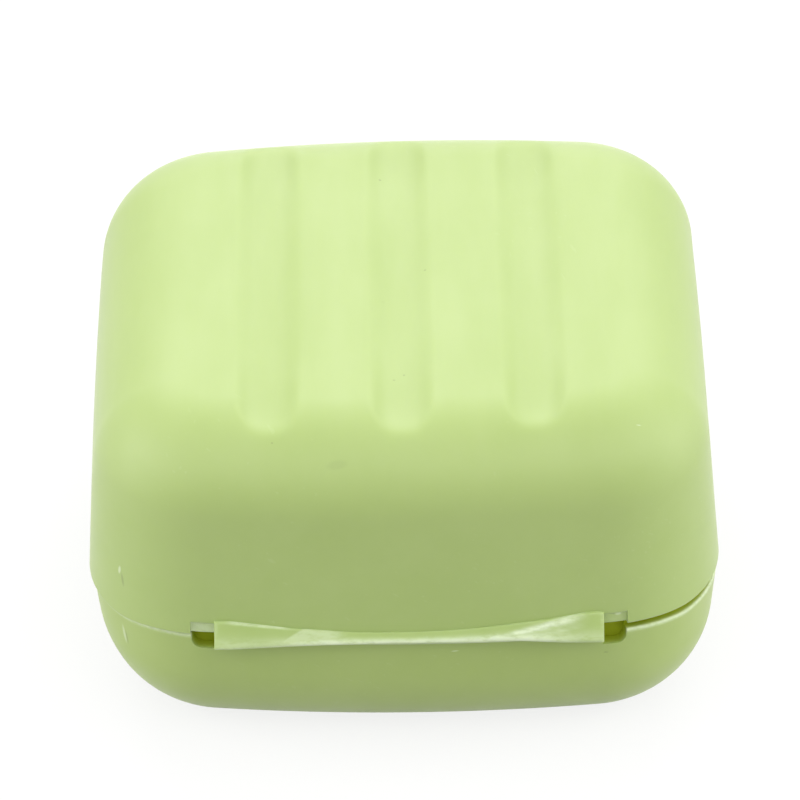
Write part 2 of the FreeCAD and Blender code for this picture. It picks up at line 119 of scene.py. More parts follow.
def rounded(a: Array, corner: Array, b: Array, cut: float, count: int, most_share: float = 0.45) -> Array:
    """Corner cut by a quadratic curve: (1 - t)^2 start + 2 t (1 - t) corner + t^2 end, t from 0 to 1.

    Args:
        a: Far ends of the first leg.
        corner: Corners.
        b: Far ends of the second leg.
        cut: How far back along both legs the curve starts and ends.
        count: Points on the curve.
        most_share: Largest share of a leg that the cut may take.

    Returns:
        Points on the curve, one row per corner.
    """
    start, end = (corner + (leg - corner) * np.minimum(cut / np.linalg.norm(leg - corner, axis=-1),
                                                       most_share)[:, None] for leg in (a, b))
    t = np.linspace(0.0, 1.0, count)[None, :, None]
    return (1 - t) ** 2 * start[:, None] + 2 * t * (1 - t) * corner[:, None] + t ** 2 * end[:, None]


def corner_bite(depth: Array, radius: float) -> Array:
    """Width lost to a round corner: radius - sqrt(radius^2 - (radius - depth)^2) within its reach.

    Args:
        depth: Distance from the edge that the corner ends on.
        radius: Radius of the corner.

    Returns:
        Width lost at that depth.
    """
    left = np.clip(radius - depth, 0.0, radius)
    return radius - np.sqrt(np.maximum(radius ** 2 - left ** 2, 0.0))


def band_quads(rows: int, count: int, closed: bool) -> Array:
    """Quads of a grid of rows, each of count points, joined end to start where closed.

    Args:
        rows: Number of rows.
        count: Points in a row.
        closed: Whether a row runs on into its own first point.

    Returns:
        Array of four point numbers per quad.
    """
    k = np.arange(rows - 1)[:, None] * count
    i = np.arange(count if closed else count - 1)[None, :]
    j = (i + 1) % count
    return np.stack([k + i, k + j, k + count + j, k + count + i], axis=-1).reshape(-1, 4)


def swept_quads(stations: int, half: int) -> Array:
    """Quads of a closed loop of 2 * half points carried over stations, both ends closed across the loop.

    Args:
        stations: Number of places the loop is carried to.
        half: Points on each of the loop's two faces.

    Returns:
        Array of four point numbers per quad.
    """
    m = np.arange(half - 1)
    strip = np.stack([m, m + 1, 2 * half - 2 - m, 2 * half - 1 - m], -1)
    far_strip = (strip + (stations - 1) * 2 * half)[:, ::-1]
    return np.concatenate([band_quads(stations, 2 * half, True), strip, far_strip])


def carried_along_x(x: Array, sections: Array) -> Array:
    """Grid of points: the section of y and z at each station, placed at that station's x."""
    return np.concatenate([np.broadcast_to(x[:, None, None], sections.shape[:2] + (1,)), sections], -1)


def over_rings(shares: Array, total: int) -> Array:
    """Shares of a shell's points: those given for its rings, then zeros for its two caps."""
    return np.concatenate([shares.ravel(), np.zeros(total - shares.size)])


def signed_volume(points: Array, quads: Array) -> float:
    """Six times the volume inside a closed mesh: positive where its faces point outward."""
    a, b, c, d = (points[quads[:, k]] for k in range(4))
    return float(np.sum(a * np.cross(b, c)) + np.sum(a * np.cross(c, d)))


def make_piece(name: str, points: Array, quads: Array, sharp: float = 38.0,
               layers: dict[str, Array] | None = None) -> bpy.types.Object:
    """Closed mesh object from points in millimetres; the sign of its volume turns its faces outward.

    Args:
        name: Name of the piece.
        points: Array of points.
        quads: Array of four point numbers per face.
        sharp: Angle in degrees past which an edge is shaded sharp.
        layers: Shares at each point, by the name of the attribute that a finish reads.

    Returns:
        The new object, at the origin.
    """
    if signed_volume(points, quads) < 0.0:
        quads = quads[:, ::-1]
    mesh = bpy.data.meshes.new(name)
    mesh.from_pydata((points * MM).tolist(), [], quads.tolist())
    mesh.polygons.foreach_set("use_smooth", np.ones(len(quads), bool))
    mesh.set_sharp_from_angle(angle=math.radians(sharp))
    for key, shares in (layers or {}).items():
        layer = mesh.attributes.new(key, "FLOAT", "POINT")
        layer.data.foreach_set("value", np.asarray(shares, np.float32))
    mesh.update()
    piece = bpy.data.objects.new(name, mesh)
    bpy.context.collection.objects.link(piece)
    LOG.info("%s: %d points, %d faces", name, len(points), len(quads))
    return piece


def coat(piece: bpy.types.Object, plastic: bpy.types.Material) -> None:
    """Give a piece its plastic.

    Args:
        piece: The piece.
        plastic: Its material.
    """
    piece.data.materials.clear()
    piece.data.materials.append(plastic)


@dataclass
class RimOutline:
    """Plan of the box: four bowed sides and four round corners, all tangent arcs.

    A ring of stations runs round it. A ring moved inward is station - inset * normal, exact on arcs.
    """

    half_width: float = 50.0
    half_depth: float = 49.0
    end_bow: float = 4.4
    side_bow: float = 0.6
    corner: float = 21.0
    step_across: float = 0.5
    step_along: float = 1.0
    breaks: tuple[float, ...] = ()
    hair: float = 0.02
    end_r: float = field(init=False)
    side_r: float = field(init=False)
    corner_c: Array = field(init=False)
    across: int = field(init=False)
    along: int = field(init=False)
    share_x: Array = field(init=False)
    share_y: Array = field(init=False)
    points: Array = field(init=False)
    normals: Array = field(init=False)

    def __post_init__(self) -> None:
        """Find the arcs and lay out the ring of stations."""
        self.end_r = (self.half_width ** 2 + self.end_bow ** 2) / (2.0 * self.end_bow)
        self.side_r = (self.half_depth ** 2 + self.side_bow ** 2) / (2.0 * self.side_bow)
        self.corner_c = self.corner_centre()
        self.lay_out()

    def corner_centre(self) -> Array:
        """Centre of a corner arc that touches the end arc and the side arc from inside.

        It lies end_r - corner from the centre of the one and side_r - corner from the centre of the other.

        Returns:
            Plan coordinates of the centre in the corner at +X and +Y.
        """
        end_c = np.array([0.0, self.half_depth - self.end_r])
        side_c = np.array([self.half_width - self.side_r, 0.0])
        from_end, from_side = self.end_r - self.corner, self.side_r - self.corner
        span = np.linalg.norm(side_c - end_c)
        reach = (from_end ** 2 - from_side ** 2 + span ** 2) / (2.0 * span)
        offset = math.sqrt(from_end ** 2 - reach ** 2)
        unit = (side_c - end_c) / span
        return end_c + unit * reach + np.array([unit[1], -unit[0]]) * offset

    def lay_out(self) -> None:
        """Place the stations: even steps along each side to mid-corner, and a pair at each break."""
        half = self.corner_c + self.corner * math.sqrt(0.5)
        pairs = np.array([at + way * self.hair for at in self.breaks for way in (-1.0, 1.0)])
        even = np.linspace(-half[0], half[0], round(2.0 * half[0] / self.step_across) + 1)
        xs = np.unique(np.round(np.concatenate([even, pairs]), 4))[::-1]
        ys = np.linspace(-half[1], half[1], round(2.0 * half[1] / self.step_along) + 1)
        self.across, self.along = len(xs) - 1, len(ys) - 1
        self.share_x = (xs[0] - xs) / (xs[0] - xs[-1])
        self.share_y = (ys - ys[0]) / (ys[-1] - ys[0])
        rear, rear_n = self.rear(xs)
        right, right_n = self.right(ys)
        flip_x, flip_y = np.array([-1.0, 1.0]), np.array([1.0, -1.0])
        self.points, self.normals = (
            np.concatenate([side, end[1:], (side * flip_x)[::-1][1:], (end * flip_y)[::-1][1:-1]])
            for side, end in ((right, rear), (right_n, rear_n)))

    def bowed_side(self, place: Array, radius: float, reach: float, along: int) -> tuple[Array, Array]:
        """Points and outward normals of one side: its bowed arc, then the corner arcs.

        Args:
            place: Places along the side.
            radius: Radius of the side's arc.
            reach: Distance from the middle of the box to the middle of the side.
            along: Axis that the side runs along, 0 for X and 1 for Y.

        Returns:
            Points and normals.
        """
        centre_along, centre_out = self.corner_c[along], self.corner_c[1 - along]
        on_corner = np.sign(place) * np.clip((np.abs(place) - centre_along) / self.corner, 0.0, 1.0)
        arc = np.abs(place) < radius * centre_along / (radius - self.corner)
        n_along = np.where(arc, place / radius, on_corner)
        n_out = np.sqrt(1.0 - n_along ** 2)
        out = np.where(arc, reach - radius + radius * n_out, centre_out + self.corner * n_out)
        points, normals = np.stack([place, out], -1), np.stack([n_along, n_out], -1)
        return (points, normals) if along == 0 else (points[:, ::-1], normals[:, ::-1])

    def rear(self, x: Array) -> tuple[Array, Array]:
        """Points and outward normals of the rear side at given x."""
        return self.bowed_side(x, self.end_r, self.half_depth, 0)

    def right(self, y: Array) -> tuple[Array, Array]:
        """Points and outward normals of the +X side at given y."""
        return self.bowed_side(y, self.side_r, self.half_width, 1)

    def rings(self, inset: Array) -> Array:
        """Plan points of rings moved inward: station - inset * normal.

        Args:
            inset: Insets, one row per ring, one column per station or a single column.

        Returns:
            Array of rings, stations and plan coordinates.
        """
        return self.points[None] - inset[..., None] * self.normals[None]

    def cap_plan(self, ring: Array) -> Array:
        """Grid that fills a ring: a Coons patch, the sum of two ruled surfaces less the bilinear one.

        Args:
            ring: Plan points of the ring.

        Returns:
            Grid of plan points, across by along, whose border is the ring.
        """
        right, rear, left, front = (ring[rows] for rows in self.border())
        u, v = self.share_x[:, None, None], self.share_y[None, :, None]
        ruled = (1 - v) * front[:, None] + v * rear[:, None] + (1 - u) * right[None] + u * left[None]
        corners = ((1 - u) * (1 - v) * right[0] + (1 - u) * v * right[-1] + u * (1 - v) * left[0]
                   + u * v * left[-1])
        return ruled - corners

    def border(self) -> tuple[Array, Array, Array, Array]:
        """Station numbers of the right, rear, left and front sides.

        Returns:
            Four arrays, each in the order of the cap's grid.
        """
        nx, ny, total = self.across, self.along, 2 * (self.across + self.along)
        right = np.arange(ny + 1)
        rear = ny + np.arange(nx + 1)
        left = (ny + nx + np.arange(ny + 1))[::-1]
        front = ((2 * ny + nx + np.arange(nx + 1)) % total)[::-1]
        return right, rear, left, front

    def cap_quads(self, ring_start: int, fresh_start: int) -> Array:
        """Quads of a cap whose border is a ring and whose inner points follow from a given number.

        Args:
            ring_start: Number of the ring's first point.
            fresh_start: Number of the cap's first inner point.

        Returns:
            Array of four point numbers per quad.
        """
        nx, ny = self.across, self.along
        grid = np.zeros((nx + 1, ny + 1), int)
        grid[1:-1, 1:-1] = fresh_start + np.arange((nx - 1) * (ny - 1)).reshape(nx - 1, ny - 1)
        right, rear, left, front = self.border()
        grid[0], grid[-1] = ring_start + right, ring_start + left
        grid[:, -1], grid[:, 0] = ring_start + rear, ring_start + front
        return np.stack([grid[:-1, :-1], grid[1:, :-1], grid[1:, 1:], grid[:-1, 1:]], -1).reshape(-1, 4)

    def shell(self, rings: Array, first_height: Callable[[Array], Array],
              last_height: Callable[[Array], Array]) -> tuple[Array, Array]:
        """Closed shell: rings of points, with a cap inside the first ring and one inside the last.

        Args:
            rings: Array of rings, stations and coordinates.
            first_height: Height of the first cap over plan points.
            last_height: Height of the last cap over plan points.

        Returns:
            Points and quads.
        """
        count, stations = rings.shape[:2]
        body = rings.reshape(-1, 3)
        quads = [band_quads(count, stations, True)]
        parts = [body]
        fresh = len(body)
        for ring, start, height, turn in ((rings[0], 0, first_height, -1),
                                          (rings[-1], (count - 1) * stations, last_height, 1)):
            plan = self.cap_plan(ring[:, :2])[1:-1, 1:-1].reshape(-1, 2)
            parts.append(np.column_stack([plan, height(plan)]))
            quads.append(self.cap_quads(start, fresh)[:, ::-turn])
            fresh += len(plan)
        return np.concatenate(parts), np.concatenate(quads)


class Graph:
    """Adds nodes to a shader tree and links them."""

    def __init__(self, tree: bpy.types.NodeTree) -> None:
        """Keep the tree that nodes go into."""
        self.tree = tree

    def add(self, kind: str, inputs: dict | None = None, **settings) -> bpy.types.Node:
        """New node with its settings and inputs; an input may be a value or another node's output.

        Args:
            kind: Blender's name for the node type.
            inputs: Values or sockets by input name or number.
            settings: Properties of the node, set before its inputs.

        Returns:
            The node.
        """
        node = self.tree.nodes.new(kind)
        for key, value in settings.items():
            setattr(node, key, value)
        for key, value in (inputs or {}).items():
            if isinstance(value, Socket):
                self.tree.links.new(value, node.inputs[key])
            else:
                node.inputs[key].default_value = value
        return node

    def math(self, operation: str, *values: Input) -> Socket:
        """Result of a Math node over values or sockets."""
        return self.add("ShaderNodeMath", dict(enumerate(values)), operation=operation).outputs[0]

    def vector(self, operation: str, *values: Input) -> bpy.types.Node:
        """Vector Math node over values or sockets."""
        return self.add("ShaderNodeVectorMath", dict(enumerate(values)), operation=operation)

    def span(self, value: Socket, low: float, high: float, start: float = 0.0, end: float = 1.0) -> Socket:
        """Smooth step of a socket.

        Args:
            value: Socket to step.
            low: Value where the step starts.
            high: Value where it ends.
            start: What it gives at low.
            end: What it gives at high.

        Returns:
            Socket of the result.
        """
        limits = {"Value": value, "From Min": low, "From Max": high, "To Min": start, "To Max": end}
        return self.add("ShaderNodeMapRange", limits, interpolation_type="SMOOTHSTEP").outputs["Result"]

    def mix(self, factor: Input, first: Input, second: Input) -> Socket:
        """Colour between two, by a factor."""
        return self.add("ShaderNodeMix", {0: factor, 6: first, 7: second}, data_type="RGBA").outputs[2]

    def noise(self, place: Socket, scale: float, detail: float = 2.0, rough: float = 0.5) -> Socket:
        """Value of a noise over a place, with its scale per metre, its octaves and their fall."""
        settings = {"Vector": place, "Scale": scale, "Detail": detail, "Roughness": rough}
        return self.add("ShaderNodeTexNoise", settings).outputs[0]

    def give(self, source: Socket, node: bpy.types.Node, name: str) -> None:
        """Link a socket to a named input of a node."""
        self.tree.links.new(source, node.inputs[name])


class Effect(Enum):
    """Surface effects that several plastics share, each a shader node group."""

    SKIN = "moulded_skin"
    MARKS = "handling_marks"
    FLEX_AND_HIGHLIGHT = "flex_whitening_and_highlight"
    SPOT = "local_mark"


class EffectLibrary:
    """Builds each effect once and places it in materials."""

    def __init__(self) -> None:
        """Make the four groups."""
        self.groups: dict[Effect, bpy.types.NodeTree] = {
            Effect.SKIN: self.moulded_skin(), Effect.MARKS: self.handling_marks(),
            Effect.FLEX_AND_HIGHLIGHT: self.flex_whitening_and_highlight(), Effect.SPOT: self.local_mark()}

    def place(self, graph: Graph, effect: Effect, inputs: dict[str, Input]) -> bpy.types.Node:
        """Node of one of the groups, put into a material's graph."""
        return graph.add("ShaderNodeGroup", inputs, node_tree=self.groups[effect])

    @staticmethod
    def group(effect: Effect, inputs: dict[str, str],
              outputs: dict[str, str]) -> tuple[Graph, dict[str, Socket], bpy.types.Node]:
        """Empty group with named sockets.

        Args:
            effect: Which effect the group is for.
            inputs: Socket types by input name.
            outputs: Socket types by output name.

        Returns:
            A graph on the group, its input sockets by name, and its output node.
        """
        tree = bpy.data.node_groups.new(effect.value, "ShaderNodeTree")
        for way, sockets in (("INPUT", inputs), ("OUTPUT", outputs)):
            for name, kind in sockets.items():
                tree.interface.new_socket(name=name, in_out=way, socket_type="NodeSocket" + kind)
        graph = Graph(tree)
        source = graph.add("NodeGroupInput")
        return graph, {name: source.outputs[name] for name in inputs}, graph.add("NodeGroupOutput")

    def moulded_skin(self) -> bpy.types.NodeTree:
        """Skin of a moulded plastic: slow clouds of tone, faint flow streaks, and a fine grain.

        Returns:
            The node group.
        """
        sockets = {"Vector": "Vector", "Tint": "Color", "Shade": "Color", "Gloss": "Float"}
        results = {"Color": "Color", "Roughness": "Float", "Height": "Float"}
        g, i, out = self.group(Effect.SKIN, sockets, results)
        drawn = g.vector("MULTIPLY", i["Vector"], (1.0, 0.22, 1.0)).outputs[0]
        clouds = g.noise(i["Vector"], scale=38.0, detail=3.0, rough=0.55)
        flow = g.noise(drawn, scale=150.0, detail=4.0, rough=0.6)
        grain = g.noise(i["Vector"], scale=1900.0)
        waves = g.noise(i["Vector"], scale=75.0, detail=1.0, rough=0.4)
        tone = g.math("ADD", g.math("MULTIPLY", clouds, 0.6), g.math("MULTIPLY", flow, 0.4))
        uneven = g.math("MULTIPLY", g.math("SUBTRACT", flow, 0.5), 0.16)
        g.give(g.mix(g.span(tone, low=0.36, high=0.64), i["Tint"], i["Shade"]), out, "Color")
        g.give(g.math("ADD", i["Gloss"], uneven), out, "Roughness")
        g.give(g.math("ADD", waves, g.math("MULTIPLY", grain, 0.05)), out, "Height")
        return g.tree

    def handling_marks(self) -> bpy.types.NodeTree:
        """Marks of handling: hairline scratches in two directions, rubbed patches and a few dark specks.

        Returns:
            The node group.
        """
        g, i, out = self.group(Effect.MARKS, {"Vector": "Vector", "Amount": "Float"},
                               {"Pale": "Float", "Dark": "Float", "Rub": "Float"})
        hairs = []
        for turn, seed in ((0.5, 3.1), (2.1, 8.7)):
            place = g.add("ShaderNodeMapping", {"Vector": i["Vector"], "Location": (seed, seed, seed),
                                                "Rotation": (0.3, turn, turn)}).outputs[0]
            thin = g.vector("MULTIPLY", place, (1.0, 26.0, 26.0)).outputs[0]
            hairs.append(g.span(g.noise(thin, scale=46.0, detail=1.0, rough=0.4), low=0.735, high=0.775))
        where = g.span(g.noise(i["Vector"], scale=30.0, detail=1.0), low=0.5, high=0.66)
        cells = g.add("ShaderNodeTexVoronoi", {"Vector": i["Vector"], "Scale": 85.0}).outputs["Distance"]
        specks = g.span(cells, low=0.045, high=0.02)
        rare = g.span(g.noise(i["Vector"], scale=61.0, detail=0.0), low=0.62, high=0.66)
        rub = g.span(g.noise(i["Vector"], scale=120.0, detail=5.0, rough=0.7), low=0.52, high=0.72)
        for name, mark, spread in (("Pale", g.math("MAXIMUM", *hairs), where), ("Dark", specks, rare),
                                   ("Rub", rub, where)):
            g.give(g.math("MULTIPLY", g.math("MULTIPLY", mark, spread), i["Amount"]), out, name)
        return g.tree

    def flex_whitening_and_highlight(self) -> bpy.types.NodeTree:
        """Plastic gone pale where it was bent or cut, and painted highlight along lit edges: a painted
        share, broken into fine streaks.

        Returns:
            The node group.
        """
        sockets = {"Vector": "Vector", "Share": "Float", "Color": "Color", "Pale": "Color"}
        g, i, out = self.group(Effect.FLEX_AND_HIGHLIGHT, sockets, {"Color": "Color", "Mask": "Float"})
        drawn = g.vector("MULTIPLY", i["Vector"], (0.35, 1.0, 1.0)).outputs[0]
        streaks = g.noise(drawn, scale=1300.0, detail=3.0, rough=0.6)
        broken = g.math("MULTIPLY", i["Share"], g.span(streaks, low=0.25, high=0.6, start=0.55, end=1.1))
        mask = g.math("MINIMUM", broken, 1.0)
        g.give(g.mix(mask, i["Color"], i["Pale"]), out, "Color")
        g.give(mask, out, "Mask")
        return g.tree

    def local_mark(self) -> bpy.types.NodeTree:
        """One mark at a place: 1 at its centre, falling to 0 at an ellipsoid drawn out along a direction.

        Returns:
            The node group.
        """
        sockets = {"Vector": "Vector", "Centre": "Vector", "Along": "Vector",
                   "Length": "Float", "Width": "Float"}
        g, i, out = self.group(Effect.SPOT, sockets, {"Mask": "Float"})
        away = g.vector("SUBTRACT", i["Vector"], i["Centre"]).outputs[0]
        run = g.vector("DOT_PRODUCT", away, i["Along"]).outputs["Value"]
        line = g.add("ShaderNodeVectorMath", {0: i["Along"], "Scale": run}, operation="SCALE").outputs[0]
        side = g.vector("LENGTH", g.vector("SUBTRACT", away, line).outputs[0]).outputs["Value"]
        a, b = g.math("DIVIDE", run, i["Length"]), g.math("DIVIDE", side, i["Width"])
        reach = g.math("SQRT", g.math("ADD", g.math("MULTIPLY", a, a), g.math("MULTIPLY", b, b)))
        g.give(g.span(reach, low=1.0, high=0.35), out, "Mask")
        return g.tree


@dataclass(frozen=True)
class Mark:
    """One nick, scratch or smudge: its place and size in millimetres, and how far it goes to a colour."""

    centre: Triple
    along: Triple
    length: float
    width: float
    colour: Colour
    share: float


@dataclass(frozen=True)
class PlasticFinish:
    """Satin moulded plastic with its tint, gloss and marks, whitened where bent, pale with painted
    highlight on lit edges, and darkened with painted shade in the gap under the lid.
    """

    name: str
    tint: Colour
    shade: Colour
    gloss: float = 0.58
    wear: float = 0.16
    pale_and_highlit: bool = False
    painted_gap_shade: bool = False
    pale: Colour = (0.68, 0.78, 0.52)
    dark: Colour = (0.20, 0.25, 0.05)
    # Colour of the painted shade in the gap and holes under the lid's edge.
    gap_shade: Colour = (0.36, 0.42, 0.005)
    scratch_share: float = 0.35
    speck_share: float = 0.5
    gap_shade_share: float = 0.9
    rubbed_rough: float = 0.08
    pale_and_highlit_rough: float = 0.1
    bump: float = 0.05
    bump_distance: float = 0.001
    ior: float = 1.5
    specular: float = 1.0
    gap_shade_specular: float = 0.1
    sheen: float = 0.35
    sheen_rough: float = 0.4
    scatter: float = 0.25
    scatter_radius: Triple = (1.0, 1.0, 0.35)
    scatter_scale: float = 0.0016
    marks: tuple[Mark, ...] = ()

    def build(self, effects: EffectLibrary) -> bpy.types.Material:
        """Material of the finish on Object coordinates.

        Args:
            effects: The shared node groups.

        Returns:
            The material.
        """
        material = bpy.data.materials.new(self.name)
        material.use_nodes = True
        material.node_tree.nodes.clear()
        g = Graph(material.node_tree)
        place = g.add("ShaderNodeTexCoord").outputs["Object"]
        pale, specular, sheen = (*self.pale, 1.0), self.specular, self.sheen
        skin = effects.place(g, Effect.SKIN, {"Vector": place, "Tint": (*self.tint, 1.0),
                                              "Shade": (*self.shade, 1.0), "Gloss": self.gloss})
        wear = effects.place(g, Effect.MARKS, {"Vector": place, "Amount": self.wear})
        scratches = g.math("MULTIPLY", wear.outputs["Pale"], self.scratch_share)
        specks = g.math("MULTIPLY", wear.outputs["Dark"], self.speck_share)
        colour = g.mix(specks, g.mix(scratches, skin.outputs["Color"], pale), (*self.dark, 1.0))
        rubbed = g.math("MULTIPLY", wear.outputs["Rub"], self.rubbed_rough)
        rough = g.math("ADD", skin.outputs["Roughness"], rubbed)
        if self.pale_and_highlit:
            whitening_and_highlight_node = effects.place(g, Effect.FLEX_AND_HIGHLIGHT, {"Vector": place, "Share": self.layer(g, "whitening_and_highlight"),
                                                  "Color": colour, "Pale": pale})
            colour = whitening_and_highlight_node.outputs["Color"]
            rough = g.math("ADD", rough, g.math("MULTIPLY", whitening_and_highlight_node.outputs["Mask"], self.pale_and_highlit_rough))
        for mark in self.marks:
            spot = effects.place(g, Effect.SPOT, {"Vector": place,
                                                  "Centre": tuple(c * MM for c in mark.centre),
                                                  "Along": tuple(Vector(mark.along).normalized()),
                                                  "Length": mark.length * MM, "Width": mark.width * MM})
            marked = g.math("MULTIPLY", spot.outputs["Mask"], mark.share)
            colour = g.mix(marked, colour, (*mark.colour, 1.0))
        # Painted shade: where the tray's gap layer is set, at the lip and rim flat under the lid's edge,
        # the colour goes to a dark olive and specular and sheen fall away.
        if self.painted_gap_shade:
            gap_shade_mask = self.layer(g, "gap_shade")
            colour = g.mix(g.math("MULTIPLY", gap_shade_mask, self.gap_shade_share), colour, (*self.gap_shade, 1.0))
            specular = g.span(gap_shade_mask, low=0.0, high=1.0, start=self.specular, end=self.gap_shade_specular)
            sheen = g.span(gap_shade_mask, low=0.0, high=1.0, start=self.sheen, end=0.0)
        bump = g.add("ShaderNodeBump", {"Height": skin.outputs["Height"], "Strength": self.bump,
                                        "Distance": self.bump_distance})
        shader = g.add("ShaderNodeBsdfPrincipled", {
            "Base Color": colour, "Roughness": rough, "Normal": bump.outputs["Normal"], "IOR": self.ior,
            "Specular IOR Level": specular, "Sheen Weight": sheen, "Sheen Roughness": self.sheen_rough,
            "Subsurface Weight": self.scatter, "Subsurface Radius": self.scatter_radius,
            "Subsurface Scale": self.scatter_scale})
        g.give(shader.outputs["BSDF"], g.add("ShaderNodeOutputMaterial"), "Surface")
        LOG.info("finish %s", self.name)
        return material

    @staticmethod
    def layer(g: Graph, name: str) -> Socket:
        """Share that a piece carries at its points under a name."""
        return g.add("ShaderNodeAttribute", attribute_name=name, attribute_type="GEOMETRY").outputs["Fac"]


@dataclass
class Parting:
    """Line where lid and tray meet: it climbs at the rear, the lid sits askew, and holes flank the web."""

    rise: float = 1.2
    rise_from: float = 39.5
    rise_to: float = 48.0
    lift: float = 2.1
    settle: float = 0.27
    settle_more: float = 0.37
    settle_from: float = 38.0
    settle_to: float = 46.0
    half_width: float = 50.0
    holes: tuple[Pair, Pair] = ((-34.3, -30.5), (29.85, 33.6))

    def climb(self, y: Array) -> Array:
        """Height added to both rims at a place: rise times a smooth step in y."""
        return self.rise * ramp(self.rise_from, self.rise_to, y)

    def across(self, x: Array) -> Array:
        """Share of the way from the +X side, 0, to the -X side, 1."""
        return (self.half_width - x) / (2.0 * self.half_width)

    def askew(self, x: Array) -> Array:
        """Height added to the lid across its width: none on the +X side, the whole lift on the -X side."""
        return self.lift * self.across(x)

    def droop(self, points: Array) -> Array:
        """Length by which the lid's wall reaches down past its rim plane, more so near the web."""
        x, y = points.T
        return self.settle + self.settle_more * self.across(x) * ramp(self.settle_from, self.settle_to, y)

    def beside(self, points: Array) -> Array:
        """True at the rim stations that lie in one of the two holes."""
        x, y = points.T
        return (y > 0.0) & np.any([(x > low) & (x < high) for low, high in self.holes], axis=0)

    def breaks(self) -> tuple[float, ...]:
        """Places across the rear where the holes start and end."""
        return tuple(edge for hole in self.holes for edge in hole)


@dataclass
class LidShell:
    """Lid: drafted wall, round shoulder, flat top with three grooves, hollow, cut back beside the web."""

    outline: RimOutline
    parting: Parting
    seat: float = 22.9
    height: float = 36.9
    wall: float = 1.6
    draft: float = math.radians(4.0)
    shoulder: float = 14.5
    groove_pitch: float = 20.8
    groove_half: float = 4.6
    groove_depth: float = 1.1
    groove_dip: float = 0.55
    dip_from: float = 20.0
    dip_to: float = 36.0
    groove_power: float = 2.6
    groove_round: float = 0.7
    outer_edge: float = 0.45
    inner_edge: float = 0.3
    fine_height: float = 3.4
    fine_step: float = 0.3
    hole_rise: float = 0.3
    recess: float = 0.4
    recess_height: float = 2.1
    recess_blend: Pair = (0.25, -0.05)
    pale_blend: Pair = (0.5, -0.2)
    pale_shares: Pair = (0.5, 0.12)
    pinch: float = 0.55
    pinch_heights: Pair = (30.0, 16.0)
    pinch_fade: Pair = (42.0, 20.0)
    tuck: float = 0.45
    tuck_heights: Pair = (16.0, 30.0)
    sink: float = 0.05
    lean_ease_share: float = 0.35

    def arc(self, thick: float, count: int) -> tuple[Array, Array, float]:
        """Shoulder arc of the outer face, or of the inner face a thickness inside it.

        Args:
            thick: Wall between this face and the outer one.
            count: Points on the arc.

        Returns:
            Insets and heights from the wall up to the flat, and the height where wall turns into arc.
        """
        radius = self.shoulder - thick
        centre_z = self.height - self.shoulder
        turn_z = centre_z + radius * math.sin(self.draft)
        centre_in = thick + turn_z * math.tan(self.draft) + radius * math.cos(self.draft)
        angle = np.linspace(self.draft, QUARTER_TURN, count)
        return centre_in - radius * np.cos(angle), centre_z + radius * np.sin(angle), turn_z

    def groove(self, x: Array, y: Array) -> Array:
        """Height of the groove surface, lowest of the three.

        Args:
            x: Places across the lid.
            y: Places along it.

        Returns:
            top - depth + depth (|x - middle| / half) ** power; the depth grows by the dip toward both ends.
        """
        middles = self.groove_pitch * np.array([-1.0, 0.0, 1.0])
        away = np.min(np.abs(x[..., None] - middles), axis=-1)
        depth = self.groove_depth + self.groove_dip * ramp(self.dip_from, self.dip_to, np.abs(y))
        return self.height - depth + depth * (away / self.groove_half) ** self.groove_power

    def outer_top(self, plan: Array) -> Array:
        """Height of the outer flat over plan points, grooved."""
        flat = np.full(len(plan), self.height)
        return soft_min(flat, self.groove(plan[:, 0], plan[:, 1]), self.groove_round)

    def inner_top(self, plan: Array) -> Array:
        """Height of the inner flat over plan points, with a ridge under each groove."""
        return self.outer_top(plan) - self.wall

    def seated(self, points: Array) -> Array:
        """Points on the tray: heights shrink a little and climb across the lid, and the top leans along.

        Args:
            points: Points over the lid's own rim plane.

        Returns:
            z (1 - squeeze) + askew(x) over the seat, with x moved by lean times z, the middle of the -X
            wall pinched in, and both shoulders tucked in.
        """
        x, y, z = points.T
        flat = self.outline.half_width - self.arc(0.0, count=2)[0][-1]
        squeeze = (self.parting.askew(np.array(-flat)) + self.sink) / self.height
        lean = self.parting.lift / (2.0 * self.outline.half_width)
        side = x / self.outline.half_width
        low = ramp(*self.pinch_heights, z) * ramp(*self.pinch_fade, np.abs(y)) * np.maximum(-side, 0.0)
        high = ramp(*self.tuck_heights, z) * side
        drawn = x + self.pinch * low - self.tuck * high
        return np.column_stack([drawn + lean * z * (1.0 - z / self.height * self.lean_ease_share), y,
                                self.seat + z * (1.0 - squeeze) + self.parting.askew(x)])

    def profile(self) -> tuple[Array, Array, Array, Array]:
        """Section of the lid: from the inner flat down the inside, round the rim and up the outside.

        Returns:
            Inset and height of each ring, and which rings are on the inner and on the outer side.
        """
        tan = math.tan(self.draft)
        in_arc, z_arc, turn_in = self.arc(self.wall, count=14)
        out_arc, z_out, turn_out = self.arc(0.0, count=26)
        inner_z = np.linspace(turn_in, self.inner_edge, 12)[1:]
        fine = np.arange(self.outer_edge, self.fine_height, self.fine_step)
        outer_z = np.concatenate([fine, np.linspace(self.fine_height, turn_out, 14)[:-1]])
        bend = np.linspace(0.0, QUARTER_TURN, 6)[1:]
        inset = np.concatenate([in_arc[::-1], self.wall + inner_z * tan,
                                self.wall - self.inner_edge * (1.0 - np.cos(bend)),
                                self.outer_edge * (1.0 - np.sin(bend) + (1.0 - np.cos(bend)) * tan),
                                outer_z[1:] * tan, out_arc])
        z = np.concatenate([z_arc[::-1], inner_z, self.inner_edge * (1.0 - np.sin(bend)),
                            self.outer_edge * (1.0 - np.cos(bend)), outer_z[1:], z_out])
        rows, inside = np.arange(len(z)), len(in_arc) + len(inner_z)
        return inset, z, rows < inside, rows >= inside + len(bend)

